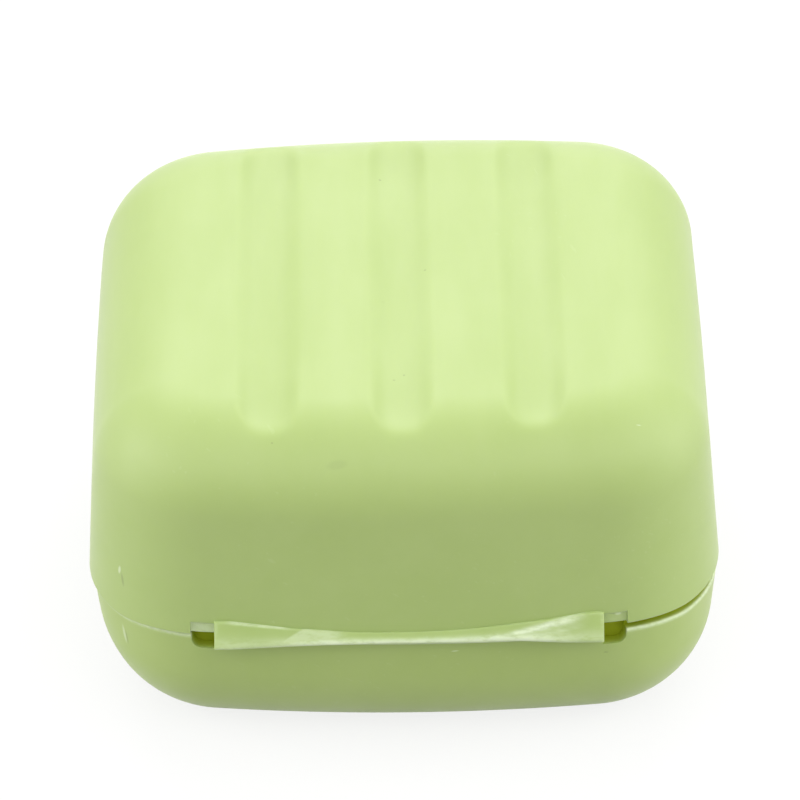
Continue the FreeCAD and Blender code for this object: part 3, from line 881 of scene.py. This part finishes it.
    def build(self) -> bpy.types.Object:
        """Lid shell as its section carried round the outline, grooved, cut back at the holes and seated.

        Returns:
            The lid's piece.
        """
        inset, z, inner, outer = self.profile()
        turn_out = self.arc(0.0, count=2)[2]
        rim = self.outline.points
        beside = self.parting.beside(rim)
        edge = self.parting.climb(rim[:, 1]) - self.parting.droop(rim) + self.hole_rise * beside
        shift = edge[None] * np.clip(1.0 - z / turn_out, 0.0, 1.0)[:, None]
        at_hole = outer[:, None] * beside[None]
        pressed, pale = (at_hole * ramp(self.recess_height + start, self.recess_height + end, z)[:, None]
                         for start, end in (self.recess_blend, self.pale_blend))
        insets = inset[:, None] + np.maximum(shift, 0.0) * math.tan(self.draft) + self.recess * pressed
        heights = z[:, None] + shift
        plan = self.outline.rings(insets)
        groove = self.groove(plan[..., 0], plan[..., 1]) - self.wall * inner[:, None]
        lowered = soft_min(heights, groove, self.groove_round)
        rings = np.concatenate([plan, lowered[..., None]], axis=-1)
        points, quads = self.outline.shell(rings, self.inner_top, self.outer_top)
        whitening_and_highlight = over_rings(np.where(rim[:, 0] > 0.0, *self.pale_shares)[None] * pale, len(points))
        piece = make_piece("lid_cover", self.seated(points), quads, layers={"whitening_and_highlight": whitening_and_highlight})
        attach(piece, "lid")
        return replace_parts(piece, "lid_shell")

    def dress(self, plastic: bpy.types.Material) -> None:
        """Build the lid and coat it."""
        coat(self.build(), plastic)


class TrayLeg(IntEnum):
    """Legs of the tray's section, in order from its floor to its underside."""

    FLOOR_ARC = 0
    INNER_WALL = 1
    LIP_BACK = 2
    LIP_TOP_BACK = 3
    LIP_TOP_FACE = 4
    LIP_FACE = 5
    RIM = 6
    RIM_EDGE = 7
    OUTER_WALL = 8
    FOOT_ARC = 9


@dataclass
class TrayShell:
    """Tray: drafted wall, round foot, flat underside, hollow, a locating lip and a catch bar."""

    outline: RimOutline
    parting: Parting
    height: float = 22.6
    overhang: float = 0.7
    wall: float = 1.6
    draft: float = math.radians(4.6)
    foot: float = 16.8
    lip_out: float = 2.1
    lip_thick: float = 1.1
    lip_height: float = 2.0
    lip_root: float = 3.5
    lip_round: float = 0.3
    rim_step: float = 0.1
    rim_gap: float = 0.05
    edge: float = 0.35
    climb_from: float = 6.0
    hole_drop: float = 2.6
    hole_round: float = 1.5
    hole_depth: float = 0.6
    # Painted highlight: a pale line along the rim's lit outer edge; its share, drop, width, reach and where
    # it starts toward the rear.
    edge_highlight_share: float = 0.8
    edge_highlight_drop: float = 0.1
    edge_highlight_width: float = 0.4
    edge_highlight_reach: float = 0.6
    edge_highlight_from: Pair = (12.0, 32.0)
    # Where the painted shade starts toward the rear, and its share at the rim flat's outer edge.
    gap_shade_from: Pair = (20.0, 38.0)
    gap_shade_edge_share: float = 0.45
    tuck: float = 0.5
    tuck_heights: Pair = (20.0, 9.0)
    catch: tuple[float, float, float, float] = (-48.65, -46.6, 17.95, 19.35)
    catch_half: float = 10.0
    catch_power: float = 0.35

    def arc(self, thick: float, count: int) -> tuple[Array, Array, float]:
        """Foot arc of the outer face, or of the inner face a thickness inside it.

        Args:
            thick: Wall between this face and the outer one.
            count: Points on the arc.

        Returns:
            Insets and heights from the flat up to the wall, and the height where arc turns into wall.
        """
        radius = self.foot - thick
        turn_z = self.foot - radius * math.sin(self.draft)
        turn_in = self.overhang + thick + (self.height - turn_z) * math.tan(self.draft)
        centre_in = turn_in + radius * math.cos(self.draft)
        angle = np.linspace(QUARTER_TURN, self.draft, count)
        return centre_in - radius * np.cos(angle), self.foot - radius * np.sin(angle), turn_z

    def legs(self) -> dict[TrayLeg, tuple[Array, Array]]:
        """Legs of the section: up the inside, over lip and rim, down the outside and round the foot.

        Returns:
            Insets and heights of each leg's rings.
        """
        tan = math.tan(self.draft)
        in_arc, in_z, turn_in = self.arc(self.wall, count=16)
        out_arc, out_z, turn_out = self.arc(0.0, count=22)
        root, top = self.height - self.lip_root, self.height + self.lip_height
        bend = np.linspace(0.0, QUARTER_TURN, 5)
        lip_in, cap = self.lip_out + self.lip_thick, self.lip_round
        wall_z = np.linspace(turn_in, root, 6)[1:]
        rise_z = np.linspace(root, top - cap, 6)
        down_z = np.linspace(top - cap, self.height + self.rim_gap, 6)[1:]
        rim_in = np.linspace(self.lip_out - self.rim_step, self.overhang + self.edge, 4)
        face_z = np.linspace(self.height - self.edge, turn_out, 14)[1:]
        return {
            TrayLeg.FLOOR_ARC: (in_arc, in_z),
            TrayLeg.INNER_WALL: (self.overhang + self.wall + (self.height - wall_z) * tan, wall_z),
            TrayLeg.LIP_BACK: (np.full(len(rise_z), lip_in), rise_z),
            TrayLeg.LIP_TOP_BACK: (lip_in - cap * (1.0 - np.cos(bend[1:])),
                                   top - cap + cap * np.sin(bend[1:])),
            TrayLeg.LIP_TOP_FACE: (self.lip_out + cap * (1.0 - np.sin(bend)),
                                   top - cap + cap * np.cos(bend)),
            TrayLeg.LIP_FACE: (np.full(len(down_z), self.lip_out), down_z),
            TrayLeg.RIM: (rim_in, np.full(len(rim_in), self.height)),
            TrayLeg.RIM_EDGE: (self.overhang + self.edge * (1.0 - np.sin(bend[1:])),
                               self.height - self.edge * (1.0 - np.cos(bend[1:]))),
            TrayLeg.OUTER_WALL: (self.overhang + (self.height - face_z) * tan, face_z),
            TrayLeg.FOOT_ARC: (out_arc[::-1][1:], out_z[::-1][1:]),
        }

    def hole_floor(self, rim: Array, climb: Array) -> Array:
        """Height of the holes' floor, rounded up at each hole's far end.

        Args:
            rim: Plan points of the rim stations.
            climb: Height that the rim climbs at each.

        Returns:
            rim height - drop + round (1 - sqrt(1 - into^2)), where into runs 0 to 1 at the far end.
        """
        near_hole, far_hole = self.parting.holes
        far_end = np.where(rim[:, 0] > 0.0, far_hole[1], -near_hole[0])
        into = np.clip(1.0 - (far_end - np.abs(rim[:, 0])) / self.hole_round, 0.0, 1.0)
        return self.height + climb - self.hole_drop + self.hole_round * (1.0 - np.sqrt(1.0 - into ** 2))

    def build(self) -> bpy.types.Object:
        """Tray as its section carried round the outline, cut down at the holes, its foot tucked in at +X.

        Returns:
            The tray's piece.
        """
        legs = self.legs()
        inset, z = (np.concatenate([leg[k] for leg in legs.values()]) for k in range(2))
        leg_of = np.repeat([int(leg) for leg in legs], [len(leg[0]) for leg in legs.values()])
        rim = self.outline.points
        beside = self.parting.beside(rim)
        climb = self.parting.climb(rim[:, 1])
        heights = z[:, None] + climb[None] * ramp(self.climb_from, self.height, z)[:, None]
        outside = (leg_of >= TrayLeg.RIM)[:, None]
        floor = self.hole_floor(rim, climb)[None]
        cut = np.where(outside & beside[None], np.minimum(heights, floor), heights)
        face = leg_of == TrayLeg.LIP_FACE
        behind = face | np.roll(face, 1)
        insets = inset[:, None] - np.where(outside, (cut - z[:, None]) * math.tan(self.draft), 0.0)
        insets = insets + self.hole_depth * behind[:, None] * beside[None]
        rings = np.concatenate([self.outline.rings(insets), cut[..., None]], axis=-1)
        points, quads = self.outline.shell(rings, lambda plan: np.full(len(plan), self.wall),
                                           lambda plan: np.zeros(len(plan)))
        side = np.maximum(points[:, 0] / self.outline.half_width, 0.0)
        points[:, 0] -= self.tuck * side * ramp(*self.tuck_heights, points[:, 2])
        # Painted highlight: pale line on the rim's outer edge, only toward the rear and not at the holes.
        edge = np.exp(-((z - self.height + self.edge_highlight_drop) / self.edge_highlight_width) ** 2)
        edge = edge * (inset < self.overhang + self.edge_highlight_reach)
        shown = ramp(*self.edge_highlight_from, rim[:, 1]) * ~beside
        # Painted shade: the lip's face and top and the rim flat toward the rear, which lie in the shade of
        # the lid's edge and in the holes, get a dark olive layer, fading across the rim flat.
        lip = np.isin(leg_of, (TrayLeg.LIP_TOP_FACE, TrayLeg.LIP_FACE)).astype(float)
        flat = leg_of == TrayLeg.RIM
        lip[flat] = np.linspace(1.0, self.gap_shade_edge_share, flat.sum())
        painted_gap_shade = lip[:, None] * ramp(*self.gap_shade_from, rim[:, 1])[None]
        piece = make_piece("tray_bowl", points, quads, layers={
            "whitening_and_highlight": over_rings(self.edge_highlight_share * edge[:, None] * shown[None], len(points)),
            "gap_shade": over_rings(painted_gap_shade, len(points))})
        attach(piece, "tray")
        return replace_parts(piece, "base_tray")

    def build_catch(self) -> bpy.types.Object:
        """Catch bar on the front wall: a rounded rectangle carried along X, drawn in at both ends.

        The rectangle is middle + half * sign(cos) |cos| ** power, and the same with sin, round a full turn.

        Returns:
            The catch's piece.
        """
        low, high = np.array(self.catch[0::2]), np.array(self.catch[1::2])
        turn = np.linspace(0.0, 4.0 * QUARTER_TURN, 33)[:-1]
        wave = np.stack([np.cos(turn), np.sin(turn)], -1)
        section = (low + high) / 2 + (high - low) / 2 * np.sign(wave) * np.abs(wave) ** self.catch_power
        middle = section.mean(0)
        place_shares = np.array([-1.0, -1.0, -0.985, -0.96, -0.5, 0.0, 0.5, 0.96, 0.985, 1.0, 1.0])
        size_shares = np.array([0.02, 0.75, 0.93, 1.0, 1.0, 1.0, 1.0, 1.0, 0.93, 0.75, 0.02])
        sections = middle + (section[None] - middle) * size_shares[:, None, None]
        points = carried_along_x(place_shares * self.catch_half, sections).reshape(-1, 3)
        piece = make_piece("tray_catch", points, band_quads(len(place_shares), len(turn), True))
        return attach(piece, "tray")

    def dress(self, plastic: bpy.types.Material) -> None:
        """Build the tray and its catch and coat both."""
        for piece in (self.build(), self.build_catch()):
            coat(piece, plastic)


@dataclass
class HingeFilm:
    """Rear hinge web: a folded film, low at its middle and tall at both ends, with a straight crest."""

    lid: LidShell
    tray: TrayShell
    level: float = 22.75
    ends: Pair = (-30.45, 29.8)
    crest_y: float = 50.45
    thick: float = 0.55
    crest_thick: float = 0.85
    upper: Knots = ((-30.5, 5.25), (-29.6, 5.46), (-28.0, 5.5), (-24.5, 5.0), (-18.0, 4.35), (-12.0, 3.72),
                    (-6.0, 3.3), (0.0, 3.15), (10.0, 3.22), (14.0, 3.45), (17.5, 3.6), (21.5, 3.95),
                    (24.0, 4.17), (28.0, 4.45), (30.0, 4.42))
    crest: Knots = ((-30.5, 1.7), (-24.0, 1.82), (-17.0, 2.3), (-11.0, 2.12), (0.0, 2.02), (8.0, 1.92),
                    (14.0, 1.75), (21.0, 1.35), (26.0, 1.0), (30.0, 0.92))
    drop: float = 1.1
    ledge: float = 0.22
    ledge_more: float = 0.2
    ledge_grows: Pair = (10.0, 29.0)
    ledge_slope: float = 0.03
    lid_overlap: float = 0.3
    tray_overlap: float = 0.25
    shelf_round: float = 0.16
    crest_round: float = 0.75
    bend_from: float = 0.5
    bend_to: float = 2.9
    stations: int = 181

    def corners(self, x: Array) -> tuple[Array, Array, Array, Array]:
        """Corners of the film's section, from the lid's wall over the crest to the tray's wall.

        Args:
            x: Places along the hinge.

        Returns:
            Root, shelf, crest and heel, each as y and z at every station.
        """
        rim = self.lid.outline.rear(x)[0][:, 1]
        top = self.level + curve_through(self.upper, x)
        fold = self.level + curve_through(self.crest, x)
        foot = self.tray.height + self.tray.parting.climb(rim) - self.drop
        ledge = self.ledge + self.ledge_more * ramp(*self.ledge_grows, np.abs(x))
        above = top - self.lid.seat - self.lid.parting.askew(x)
        wall_lid = rim - above * math.tan(self.lid.draft)
        wall_tray = rim - self.tray.overhang - (self.tray.height - foot) * math.tan(self.tray.draft)
        return (np.stack([wall_lid - self.lid_overlap, top], -1),
                np.stack([wall_lid + ledge, top - self.ledge_slope], -1),
                np.stack([np.full_like(x, self.crest_y), fold], -1),
                np.stack([wall_tray - self.tray_overlap, foot], -1))

    def build(self) -> bpy.types.Object:
        """Film as a closed section carried along X: ledge, upper leg, round crest, lower leg, and back.

        Returns:
            The film's piece.
        """
        x = np.linspace(*self.ends, self.stations)
        root, shelf, crest, heel = self.corners(x)
        bent_shelf = rounded(root, shelf, crest, self.shelf_round, count=5)
        bent_crest = rounded(shelf, crest, heel, self.crest_round, count=11)
        upper_leg = between(bent_shelf[:, -1], bent_crest[:, 0], np.linspace(0.0, 1.0, 14)[1:-1])
        lower_leg = between(bent_crest[:, -1], heel, np.linspace(0.0, 1.0, 8)[1:])
        outer = np.concatenate([root[:, None], bent_shelf, upper_leg, bent_crest, lower_leg], axis=1)
        count = outer.shape[1]
        half = count // 2
        rise, back = np.array([0.0, self.thick]), np.array([self.crest_thick, 0.0])
        inner_upper = between(root - rise, crest - back, np.linspace(0.0, 1.0, half))
        inner_lower = between(crest - back, heel + rise, np.linspace(0.0, 1.0, count - half + 1)[1:])
        inner = np.concatenate([inner_upper, inner_lower], axis=1)
        points = carried_along_x(x, np.concatenate([outer, inner[:, ::-1]], axis=1))
        whitening_and_highlight = self.whitening_and_highlight_shares(points, root[:, 1], crest[:, 1])
        piece = make_piece("hinge_film", points.reshape(-1, 3), swept_quads(self.stations, count),
                           sharp=50.0, layers={"whitening_and_highlight": whitening_and_highlight.ravel()})
        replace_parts(piece, "hinge_web")
        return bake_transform(piece)

    def whitening_and_highlight_shares(self, points: Array, top: Array, fold: Array) -> Array:
        """Share of whitening along the crest line, slanting streak at -X, patch and hem at +X and cut ends,
        and of painted highlight along the ledge.

        Places are millimetres along X, and heights are shares of the way from the crest, 0, to the edge, 1.

        Args:
            points: Grid of stations and section points.
            top: Height of the film's upper edge at each station.
            fold: Height of the crest at each station.

        Returns:
            Share at each point of the grid.
        """
        x, z = points[..., 0], points[..., 2]
        up = (z - fold[:, None]) / (top - fold)[:, None]

        def line(at: Array | float, width: float) -> Array:
            """Soft line along the film: exp(-((up - at) / width) ** 2)."""
            return np.exp(-((up - at) / width) ** 2)

        crest = line(0.1, width=0.34) * (0.35 + 0.65 * ramp(26.0, 14.0, np.abs(x + 3.0)))
        streak_at = 0.15 + 0.8 * ramp(-9.0, -28.0, x)
        streak = line(streak_at, width=0.17) + 0.4 * line(streak_at - 0.36, width=0.12)
        wash = 0.3 * ramp(0.1, -0.1, up - streak_at) * ramp(-24.0, -16.0, x)
        streak = np.maximum(streak, wash) * ramp(-6.0, -12.0, x) * ramp(-29.0, -24.0, x)
        patch = 0.42 * ramp(8.5, 12.0, x) * ramp(0.0, 0.12, (20.5 - x) / 4.5 + 0.1 - up)
        hem = 0.6 * line(-0.02, width=0.2) * ramp(8.0, 14.0, x)
        low_end, high_end = self.ends
        ends = 0.18 * np.maximum(ramp(high_end - 0.8, high_end - 0.2, x),
                                 ramp(low_end + 0.8, low_end + 0.2, x))
        # Painted highlight: the pale line along the ledge at the film's upper edge, stronger near the +X
        # end.
        ledge = ramp(0.88, 1.0, up) * (0.15 + 0.5 * ramp(17.0, 20.0, x) * ramp(28.5, 26.0, x))
        return np.clip(np.maximum.reduce([crest, streak, patch, hem, ends, ledge]), 0.0, 1.0)

    def dress(self, plastic: bpy.types.Material) -> None:
        """Build the film and coat it."""
        coat(self.build(), plastic)


@dataclass
class FrontClasp:
    """Front clasp: a flap with round lower corners, a ridge outside, a nose inside, and a thin web."""

    half_width: float = 13.0
    low: float = 11.75
    high: float = 32.25
    inner_y: float = -49.9
    thick: float = 1.6
    lower_corner: float = 5.0
    upper_corner: float = 0.8
    edge: float = 0.5
    crowd_share: float = 0.86
    ridge: float = 1.08
    ridge_z: float = 14.4
    ridge_height: float = 1.5
    ridge_half: float = 8.6
    ridge_fade: float = 1.6
    nose: float = 0.95
    nose_z: float = 16.75
    nose_height: float = 0.95
    nose_half: float = 10.0
    nose_fade: float = 1.0
    web_half: float = 11.0
    web: tuple[float, float, float, float] = (-49.98, -48.0, 31.65, 32.22)
    web_thinned: float = 0.09
    web_fold_share: float = 0.45
    web_fold_width_share: float = 0.2
    web_pale: float = 0.8
    web_pale_width: float = 0.5
    web_bend: Pair = (-48.7, -49.7)
    columns: int = 67
    rows: int = 55

    def outline(self, across: Array, upward: Array) -> tuple[Array, Array]:
        """Grid squeezed into the flap's outline: each row keeps its height and spans the width left there.

        Args:
            across: Places across, -1 to 1.
            upward: Places upward, -1 to 1.

        Returns:
            x and z of the grid.
        """
        z = (self.low + self.high) / 2.0 + upward * (self.high - self.low) / 2.0
        lost = corner_bite(z - self.low, self.lower_corner) + corner_bite(self.high - z, self.upper_corner)
        return across * (self.half_width - lost), z

    def crowded(self, count: int) -> Array:
        """Places from -1 to 1 that crowd toward both ends: the sine of even steps, over its last value."""
        turn = QUARTER_TURN * self.crowd_share
        return np.sin(np.linspace(-1.0, 1.0, count) * turn) / math.sin(turn)

    @staticmethod
    def swell(along: Array, off: Array, half: float, fade: float) -> Array:
        """Bar across the flap: exp(-|off| ** 3) upward, and a smooth fade toward both ends.

        Args:
            along: Places along the bar.
            off: Distance from its middle line, over its reach.
            half: Half of its length.
            fade: Length over which each end fades.

        Returns:
            Share of the bar's height, 0 to 1.
        """
        return np.exp(-np.abs(off) ** 3) * ramp(half, half - fade, np.abs(along))

    def build(self) -> bpy.types.Object:
        """Flap as two faces, each a grid whose depth rolls over at the edge and swells at ridge or nose.

        Returns:
            The clasp's piece.
        """
        u, v = np.meshgrid(self.crowded(self.columns), self.crowded(self.rows), indexing="ij")
        x, z = self.outline(u, v)
        span = np.maximum(self.outline(np.ones_like(u), v)[0], TINY)
        near = np.minimum(span - np.abs(x), np.minimum(z - self.low, self.high - z))
        roll = self.edge * (1.0 - np.sqrt(1.0 - (1.0 - np.clip(near / self.edge, 0.0, 1.0)) ** 2))
        ridge = self.swell(x, (z - self.ridge_z) / self.ridge_height, self.ridge_half, self.ridge_fade)
        nose = self.swell(x, (z - self.nose_z) / self.nose_height, self.nose_half, self.nose_fade)
        outer = np.stack([x, self.inner_y - self.thick + roll - self.ridge * ridge, z], -1)
        inner = np.stack([x, self.inner_y - roll + self.nose * nose, z], -1)
        points = np.concatenate([outer.reshape(-1, 3), inner.reshape(-1, 3)])
        face = band_quads(self.columns, self.rows, False)
        shift = self.columns * self.rows
        grid = np.arange(shift).reshape(self.columns, self.rows)
        loop = np.concatenate([grid[:, 0], grid[-1, 1:], grid[::-1, -1][1:], grid[0, ::-1][1:-1]])
        following = np.roll(loop, -1)
        side = np.stack([loop, following, following + shift, loop + shift], -1)
        quads = np.concatenate([face, (face + shift)[:, ::-1], side[:, ::-1]])
        piece = make_piece("clasp_flap", points, quads, sharp=45.0)
        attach(piece, "clasp")
        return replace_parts(piece, "front_clasp")

    def build_web(self) -> bpy.types.Object:
        """Thin web from the lid's wall to the flap: a flat section carried along X, thinned at its fold.

        Returns:
            The web's piece.
        """
        out_y, in_y, low_z, high_z = self.web
        t = np.linspace(0.0, 1.0, 15)
        y = out_y + (in_y - out_y) * t
        thin = self.web_thinned * np.exp(-((t - self.web_fold_share) / self.web_fold_width_share) ** 2)
        loop = np.concatenate([np.stack([y, high_z - thin], -1), np.stack([y, low_z + thin], -1)[::-1]])
        x = np.linspace(-self.web_half, self.web_half, 41)
        points = carried_along_x(x, np.broadcast_to(loop[None], (len(x), *loop.shape)))
        fold_y = out_y + self.web_fold_share * (in_y - out_y)
        white = self.web_pale * np.exp(-((points[..., 1] - fold_y) / self.web_pale_width) ** 2)
        piece = make_piece("clasp_film", points.reshape(-1, 3), swept_quads(len(x), len(t)),
                           layers={"whitening_and_highlight": white.ravel()})
        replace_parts(piece, "clasp_web")
        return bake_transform(piece)

    def dress(self, plastic: bpy.types.Material, web_plastic: bpy.types.Material) -> None:
        """Build the flap and its web and coat them."""
        coat(self.build(), plastic)
        coat(self.build_web(), web_plastic)


@dataclass
class DrainRack:
    """Loose slotted rack: the mesh of the CAD, kept as it is."""

    node: str = "drain_rack"

    def dress(self, plastic: bpy.types.Material) -> None:
        """Coat the rack in its plastic.

        Args:
            plastic: Its material.
        """
        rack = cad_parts[self.node]
        rack.data.materials.clear()
        rack.data.materials.append(plastic)
        LOG.info("%s: mesh of the CAD, dressed", self.node)


@dataclass(frozen=True)
class Softbox:
    """Rectangular area light that looks at the box, as bright as a white card in plain light times glow."""

    name: str
    place: Triple
    size: Pair
    glow: float
    aim: Triple = (0.0, 0.0, 0.03)

    def build(self) -> None:
        """Area light whose power is glow * pi * area."""
        data = bpy.data.lights.new(self.name, "AREA")
        data.shape = "RECTANGLE"
        data.size, data.size_y = self.size
        data.energy = self.glow * math.pi * self.size[0] * self.size[1]
        lamp = bpy.data.objects.new(self.name, data)
        lamp.location = self.place
        lamp.rotation_euler = (Vector(self.aim) - Vector(self.place)).to_track_quat("-Z", "Y").to_euler()
        bpy.context.collection.objects.link(lamp)


@dataclass
class Studio:
    """Pale floor, soft lights and the camera of the photograph."""

    elevation: float = math.radians(37.0)
    yaw: float = math.radians(0.656)
    roll: float = math.radians(0.183)
    distance: float = 0.971627
    pixels_per_metre: float = 6195.0
    target: Triple = (0.0, 0.0, 0.0226)
    target_pixel: Pair = (402.967, 458.377)
    picture: float = 800.0
    sensor: float = 36.0
    clip: Pair = (0.05, 20.0)
    fill: float = 0.32
    floor_half: float = 4.0
    floor_lit: float = 0.50
    floor_seen: float = 0.95
    floor_glow_share: float = 0.82
    lights: tuple[Softbox, ...] = (
        Softbox("light_above", (-0.1, 0.15, 1.0), (2.6, 2.0), 0.68),
        Softbox("light_front", (0.0, 0.84, 0.98), (1.8, 0.5), 1.25),
        Softbox("light_behind", (0.0, -1.04, 0.80), (1.4, 0.5), 4.2),
        Softbox("light_left", (1.08, 0.1, 0.42), (0.8, 0.8), 3.5),
        Softbox("light_right", (-1.08, 0.1, 0.42), (0.8, 0.8), 3.5))

    def camera(self) -> None:
        """Camera whose axis is turned off the target, so that the target lands on its pixel."""
        flat = math.cos(self.elevation)
        away = Vector((flat * math.sin(self.yaw), flat * math.cos(self.yaw), math.sin(self.elevation)))
        place = Vector(self.target) + away * self.distance
        focal = self.pixels_per_metre * self.distance
        ahead = -away
        right = ahead.cross(Vector((0.0, 0.0, 1.0))).normalized()
        up = right.cross(ahead)
        across = right * math.cos(self.roll) - up * math.sin(self.roll)
        upward = right * math.sin(self.roll) + up * math.cos(self.roll)
        off_x, off_y = (pixel - self.picture / 2.0 for pixel in self.target_pixel)
        axis = (ahead - across * (off_x / focal) + upward * (off_y / focal)).normalized()
        across = (across - axis * across.dot(axis)).normalized()
        upward = across.cross(axis)
        data = bpy.data.cameras.new("photo_camera")
        data.sensor_width = self.sensor
        data.lens = focal / self.picture * self.sensor
        data.clip_start, data.clip_end = self.clip
        camera = bpy.data.objects.new("photo_camera", data)
        turn = Matrix((across, upward, -axis)).transposed().to_4x4()
        camera.matrix_world = Matrix.Translation(place) @ turn
        bpy.context.collection.objects.link(camera)
        bpy.context.scene.camera = camera

    @staticmethod
    def seen(g: Graph) -> Socket:
        """Tell the rays that look from the rays that carry light.

        Args:
            g: Graph of the material or world.

        Returns:
            Socket that is 1 for camera, glossy and transmission rays, and 0 for the others.
        """
        path = g.add("ShaderNodeLightPath")
        shown = g.math("MAXIMUM", path.outputs["Is Camera Ray"], path.outputs["Is Glossy Ray"])
        return g.math("MAXIMUM", shown, path.outputs["Is Transmission Ray"])

    def world(self) -> None:
        """White to the camera and in reflections, a plain fill for the light."""
        world = bpy.data.worlds.new("studio")
        bpy.context.scene.world = world
        world.use_nodes = True
        world.node_tree.nodes.clear()
        g = Graph(world.node_tree)
        strength = g.math("ADD", g.math("MULTIPLY", self.seen(g), 1.0 - self.fill), self.fill)
        back = g.add("ShaderNodeBackground", {"Color": (1.0, 1.0, 1.0, 1.0), "Strength": strength})
        g.give(back.outputs[0], g.add("ShaderNodeOutputWorld"), "Surface")

    def floor(self) -> None:
        """Pale floor: mostly white to the camera, and partly lit, so that the box's shadow shows."""
        half = self.floor_half
        mesh = bpy.data.meshes.new("floor")
        corners = [(-half, -half, 0.0), (half, -half, 0.0), (half, half, 0.0), (-half, half, 0.0)]
        mesh.from_pydata(corners, [], [(0, 1, 2, 3)])
        floor = bpy.data.objects.new("floor", mesh)
        bpy.context.collection.objects.link(floor)
        material = bpy.data.materials.new("pale_floor")
        material.use_nodes = True
        material.node_tree.nodes.clear()
        g = Graph(material.node_tree)
        seen = self.seen(g)
        lit_tone, seen_tone = ((tone, tone, tone, 1.0) for tone in (self.floor_lit, self.floor_seen))
        lit = g.add("ShaderNodeBsdfDiffuse", {"Color": g.mix(seen, lit_tone, seen_tone)})
        glow = g.add("ShaderNodeEmission", {"Color": (1.0, 1.0, 1.0, 1.0), "Strength": 1.0})
        share = g.math("MULTIPLY", seen, self.floor_glow_share)
        mixed = g.add("ShaderNodeMixShader", {0: share, 1: lit.outputs[0], 2: glow.outputs[0]})
        g.give(mixed.outputs[0], g.add("ShaderNodeOutputMaterial"), "Surface")
        mesh.materials.append(material)

    def build(self) -> None:
        """Camera, world, floor and soft lights."""
        bpy.context.scene.view_settings.view_transform = "Standard"
        self.camera()
        self.world()
        self.floor()
        for light in self.lights:
            light.build()
        LOG.info("studio ready")


SCUFF_PALE = (0.62, 0.72, 0.45)
SCUFF_DARK = (0.16, 0.21, 0.05)
LID_MARKS = (
    Mark((44.50, 39.62, 31.40), (-0.1, 0.1, 1.0), 1.0, 0.40, SCUFF_PALE, 0.80),
    Mark((44.05, 40.25, 29.90), (-0.1, 0.2, -1.0), 1.5, 0.34, SCUFF_DARK, 0.45),
    Mark((-35.85, 37.82, 57.04), (1.0, 0.1, 0.2), 0.8, 0.20, SCUFF_PALE, 0.90),
    Mark((10.56, 43.53, 54.26), (1.0, 0.1, -0.1), 2.2, 1.00, SCUFF_DARK, 0.14),
    Mark((3.25, -27.75, 58.07), (1.0, 0.0, 0.0), 0.3, 0.30, SCUFF_DARK, 0.60),
    Mark((-3.59, -1.32, 58.83), (1.0, 0.0, 0.0), 0.3, 0.25, SCUFF_DARK, 0.50),
    Mark((1.65, 26.65, 57.85), (1.0, 0.0, 0.0), 0.3, 0.22, SCUFF_DARK, 0.40),
    Mark((0.09, 25.44, 57.90), (1.0, 0.0, 0.0), 0.25, 0.22, SCUFF_DARK, 0.50),
    Mark((20.45, 40.39, 56.23), (1.0, 0.0, 0.0), 0.25, 0.22, SCUFF_DARK, 0.40),
    Mark((-32.68, 46.46, 27.22), (1.0, 0.0, 0.0), 0.7, 0.45, SCUFF_PALE, 0.80))
TRAY_MARKS = (
    Mark((44.13, 39.22, 18.28), (-0.08, 0.05, -1.0), 2.5, 0.45, SCUFF_PALE, 0.60),
    Mark((43.75, 39.62, 17.90), (-0.08, 0.05, -1.0), 2.2, 0.26, SCUFF_DARK, 0.40),
    Mark((-30.96, 46.36, 19.42), (1.0, 0.0, 0.1), 0.5, 0.22, SCUFF_DARK, 0.35),
    Mark((-7.43, 48.10, 21.34), (1.0, 0.0, -0.1), 0.8, 0.20, SCUFF_PALE, 0.60))
GREEN, DEEP_GREEN = (0.368, 0.486, 0.138), (0.354, 0.472, 0.128)
LID_FINISH = PlasticFinish("lid_plastic", GREEN, DEEP_GREEN, pale_and_highlit=True, marks=LID_MARKS)
# Painted light: the tray's tint is a lighter copy of the lid's green, to brighten the tray.
TRAY_FINISH = PlasticFinish("tray_plastic", (0.385, 0.503, 0.141), (0.371, 0.489, 0.131), pale_and_highlit=True,
                            painted_gap_shade=True, specular=0.75, sheen=0.3, marks=TRAY_MARKS)
FILM_FINISH = PlasticFinish("web_plastic", (0.325, 0.440, 0.108), (0.310, 0.426, 0.098), pale_and_highlit=True,
                            bump=0.08)
CLASP_FINISH = PlasticFinish("clasp_plastic", GREEN, DEEP_GREEN)
RACK_FINISH = PlasticFinish("rack_plastic", (0.450, 0.560, 0.210), (0.430, 0.540, 0.190), gloss=0.42,
                            wear=0.35)


def main() -> None:
    """Build the soap box piece by piece, dress it, and set up the studio."""
    logging.basicConfig(level=logging.INFO, format="%(name)s: %(message)s")
    effects = EffectLibrary()
    finishes = (LID_FINISH, TRAY_FINISH, FILM_FINISH, CLASP_FINISH, RACK_FINISH)
    lid_plastic, tray_plastic, film_plastic, clasp_plastic, rack_plastic = (
        finish.build(effects) for finish in finishes)
    parting = Parting()
    outline = RimOutline(breaks=parting.breaks())
    lid = LidShell(outline, parting)
    tray = TrayShell(outline, parting)
    lid.dress(lid_plastic)
    tray.dress(tray_plastic)
    HingeFilm(lid, tray).dress(film_plastic)
    FrontClasp().dress(clasp_plastic, film_plastic)
    DrainRack().dress(rack_plastic)
    Studio().build()


if __name__ == "__main__":
    main()
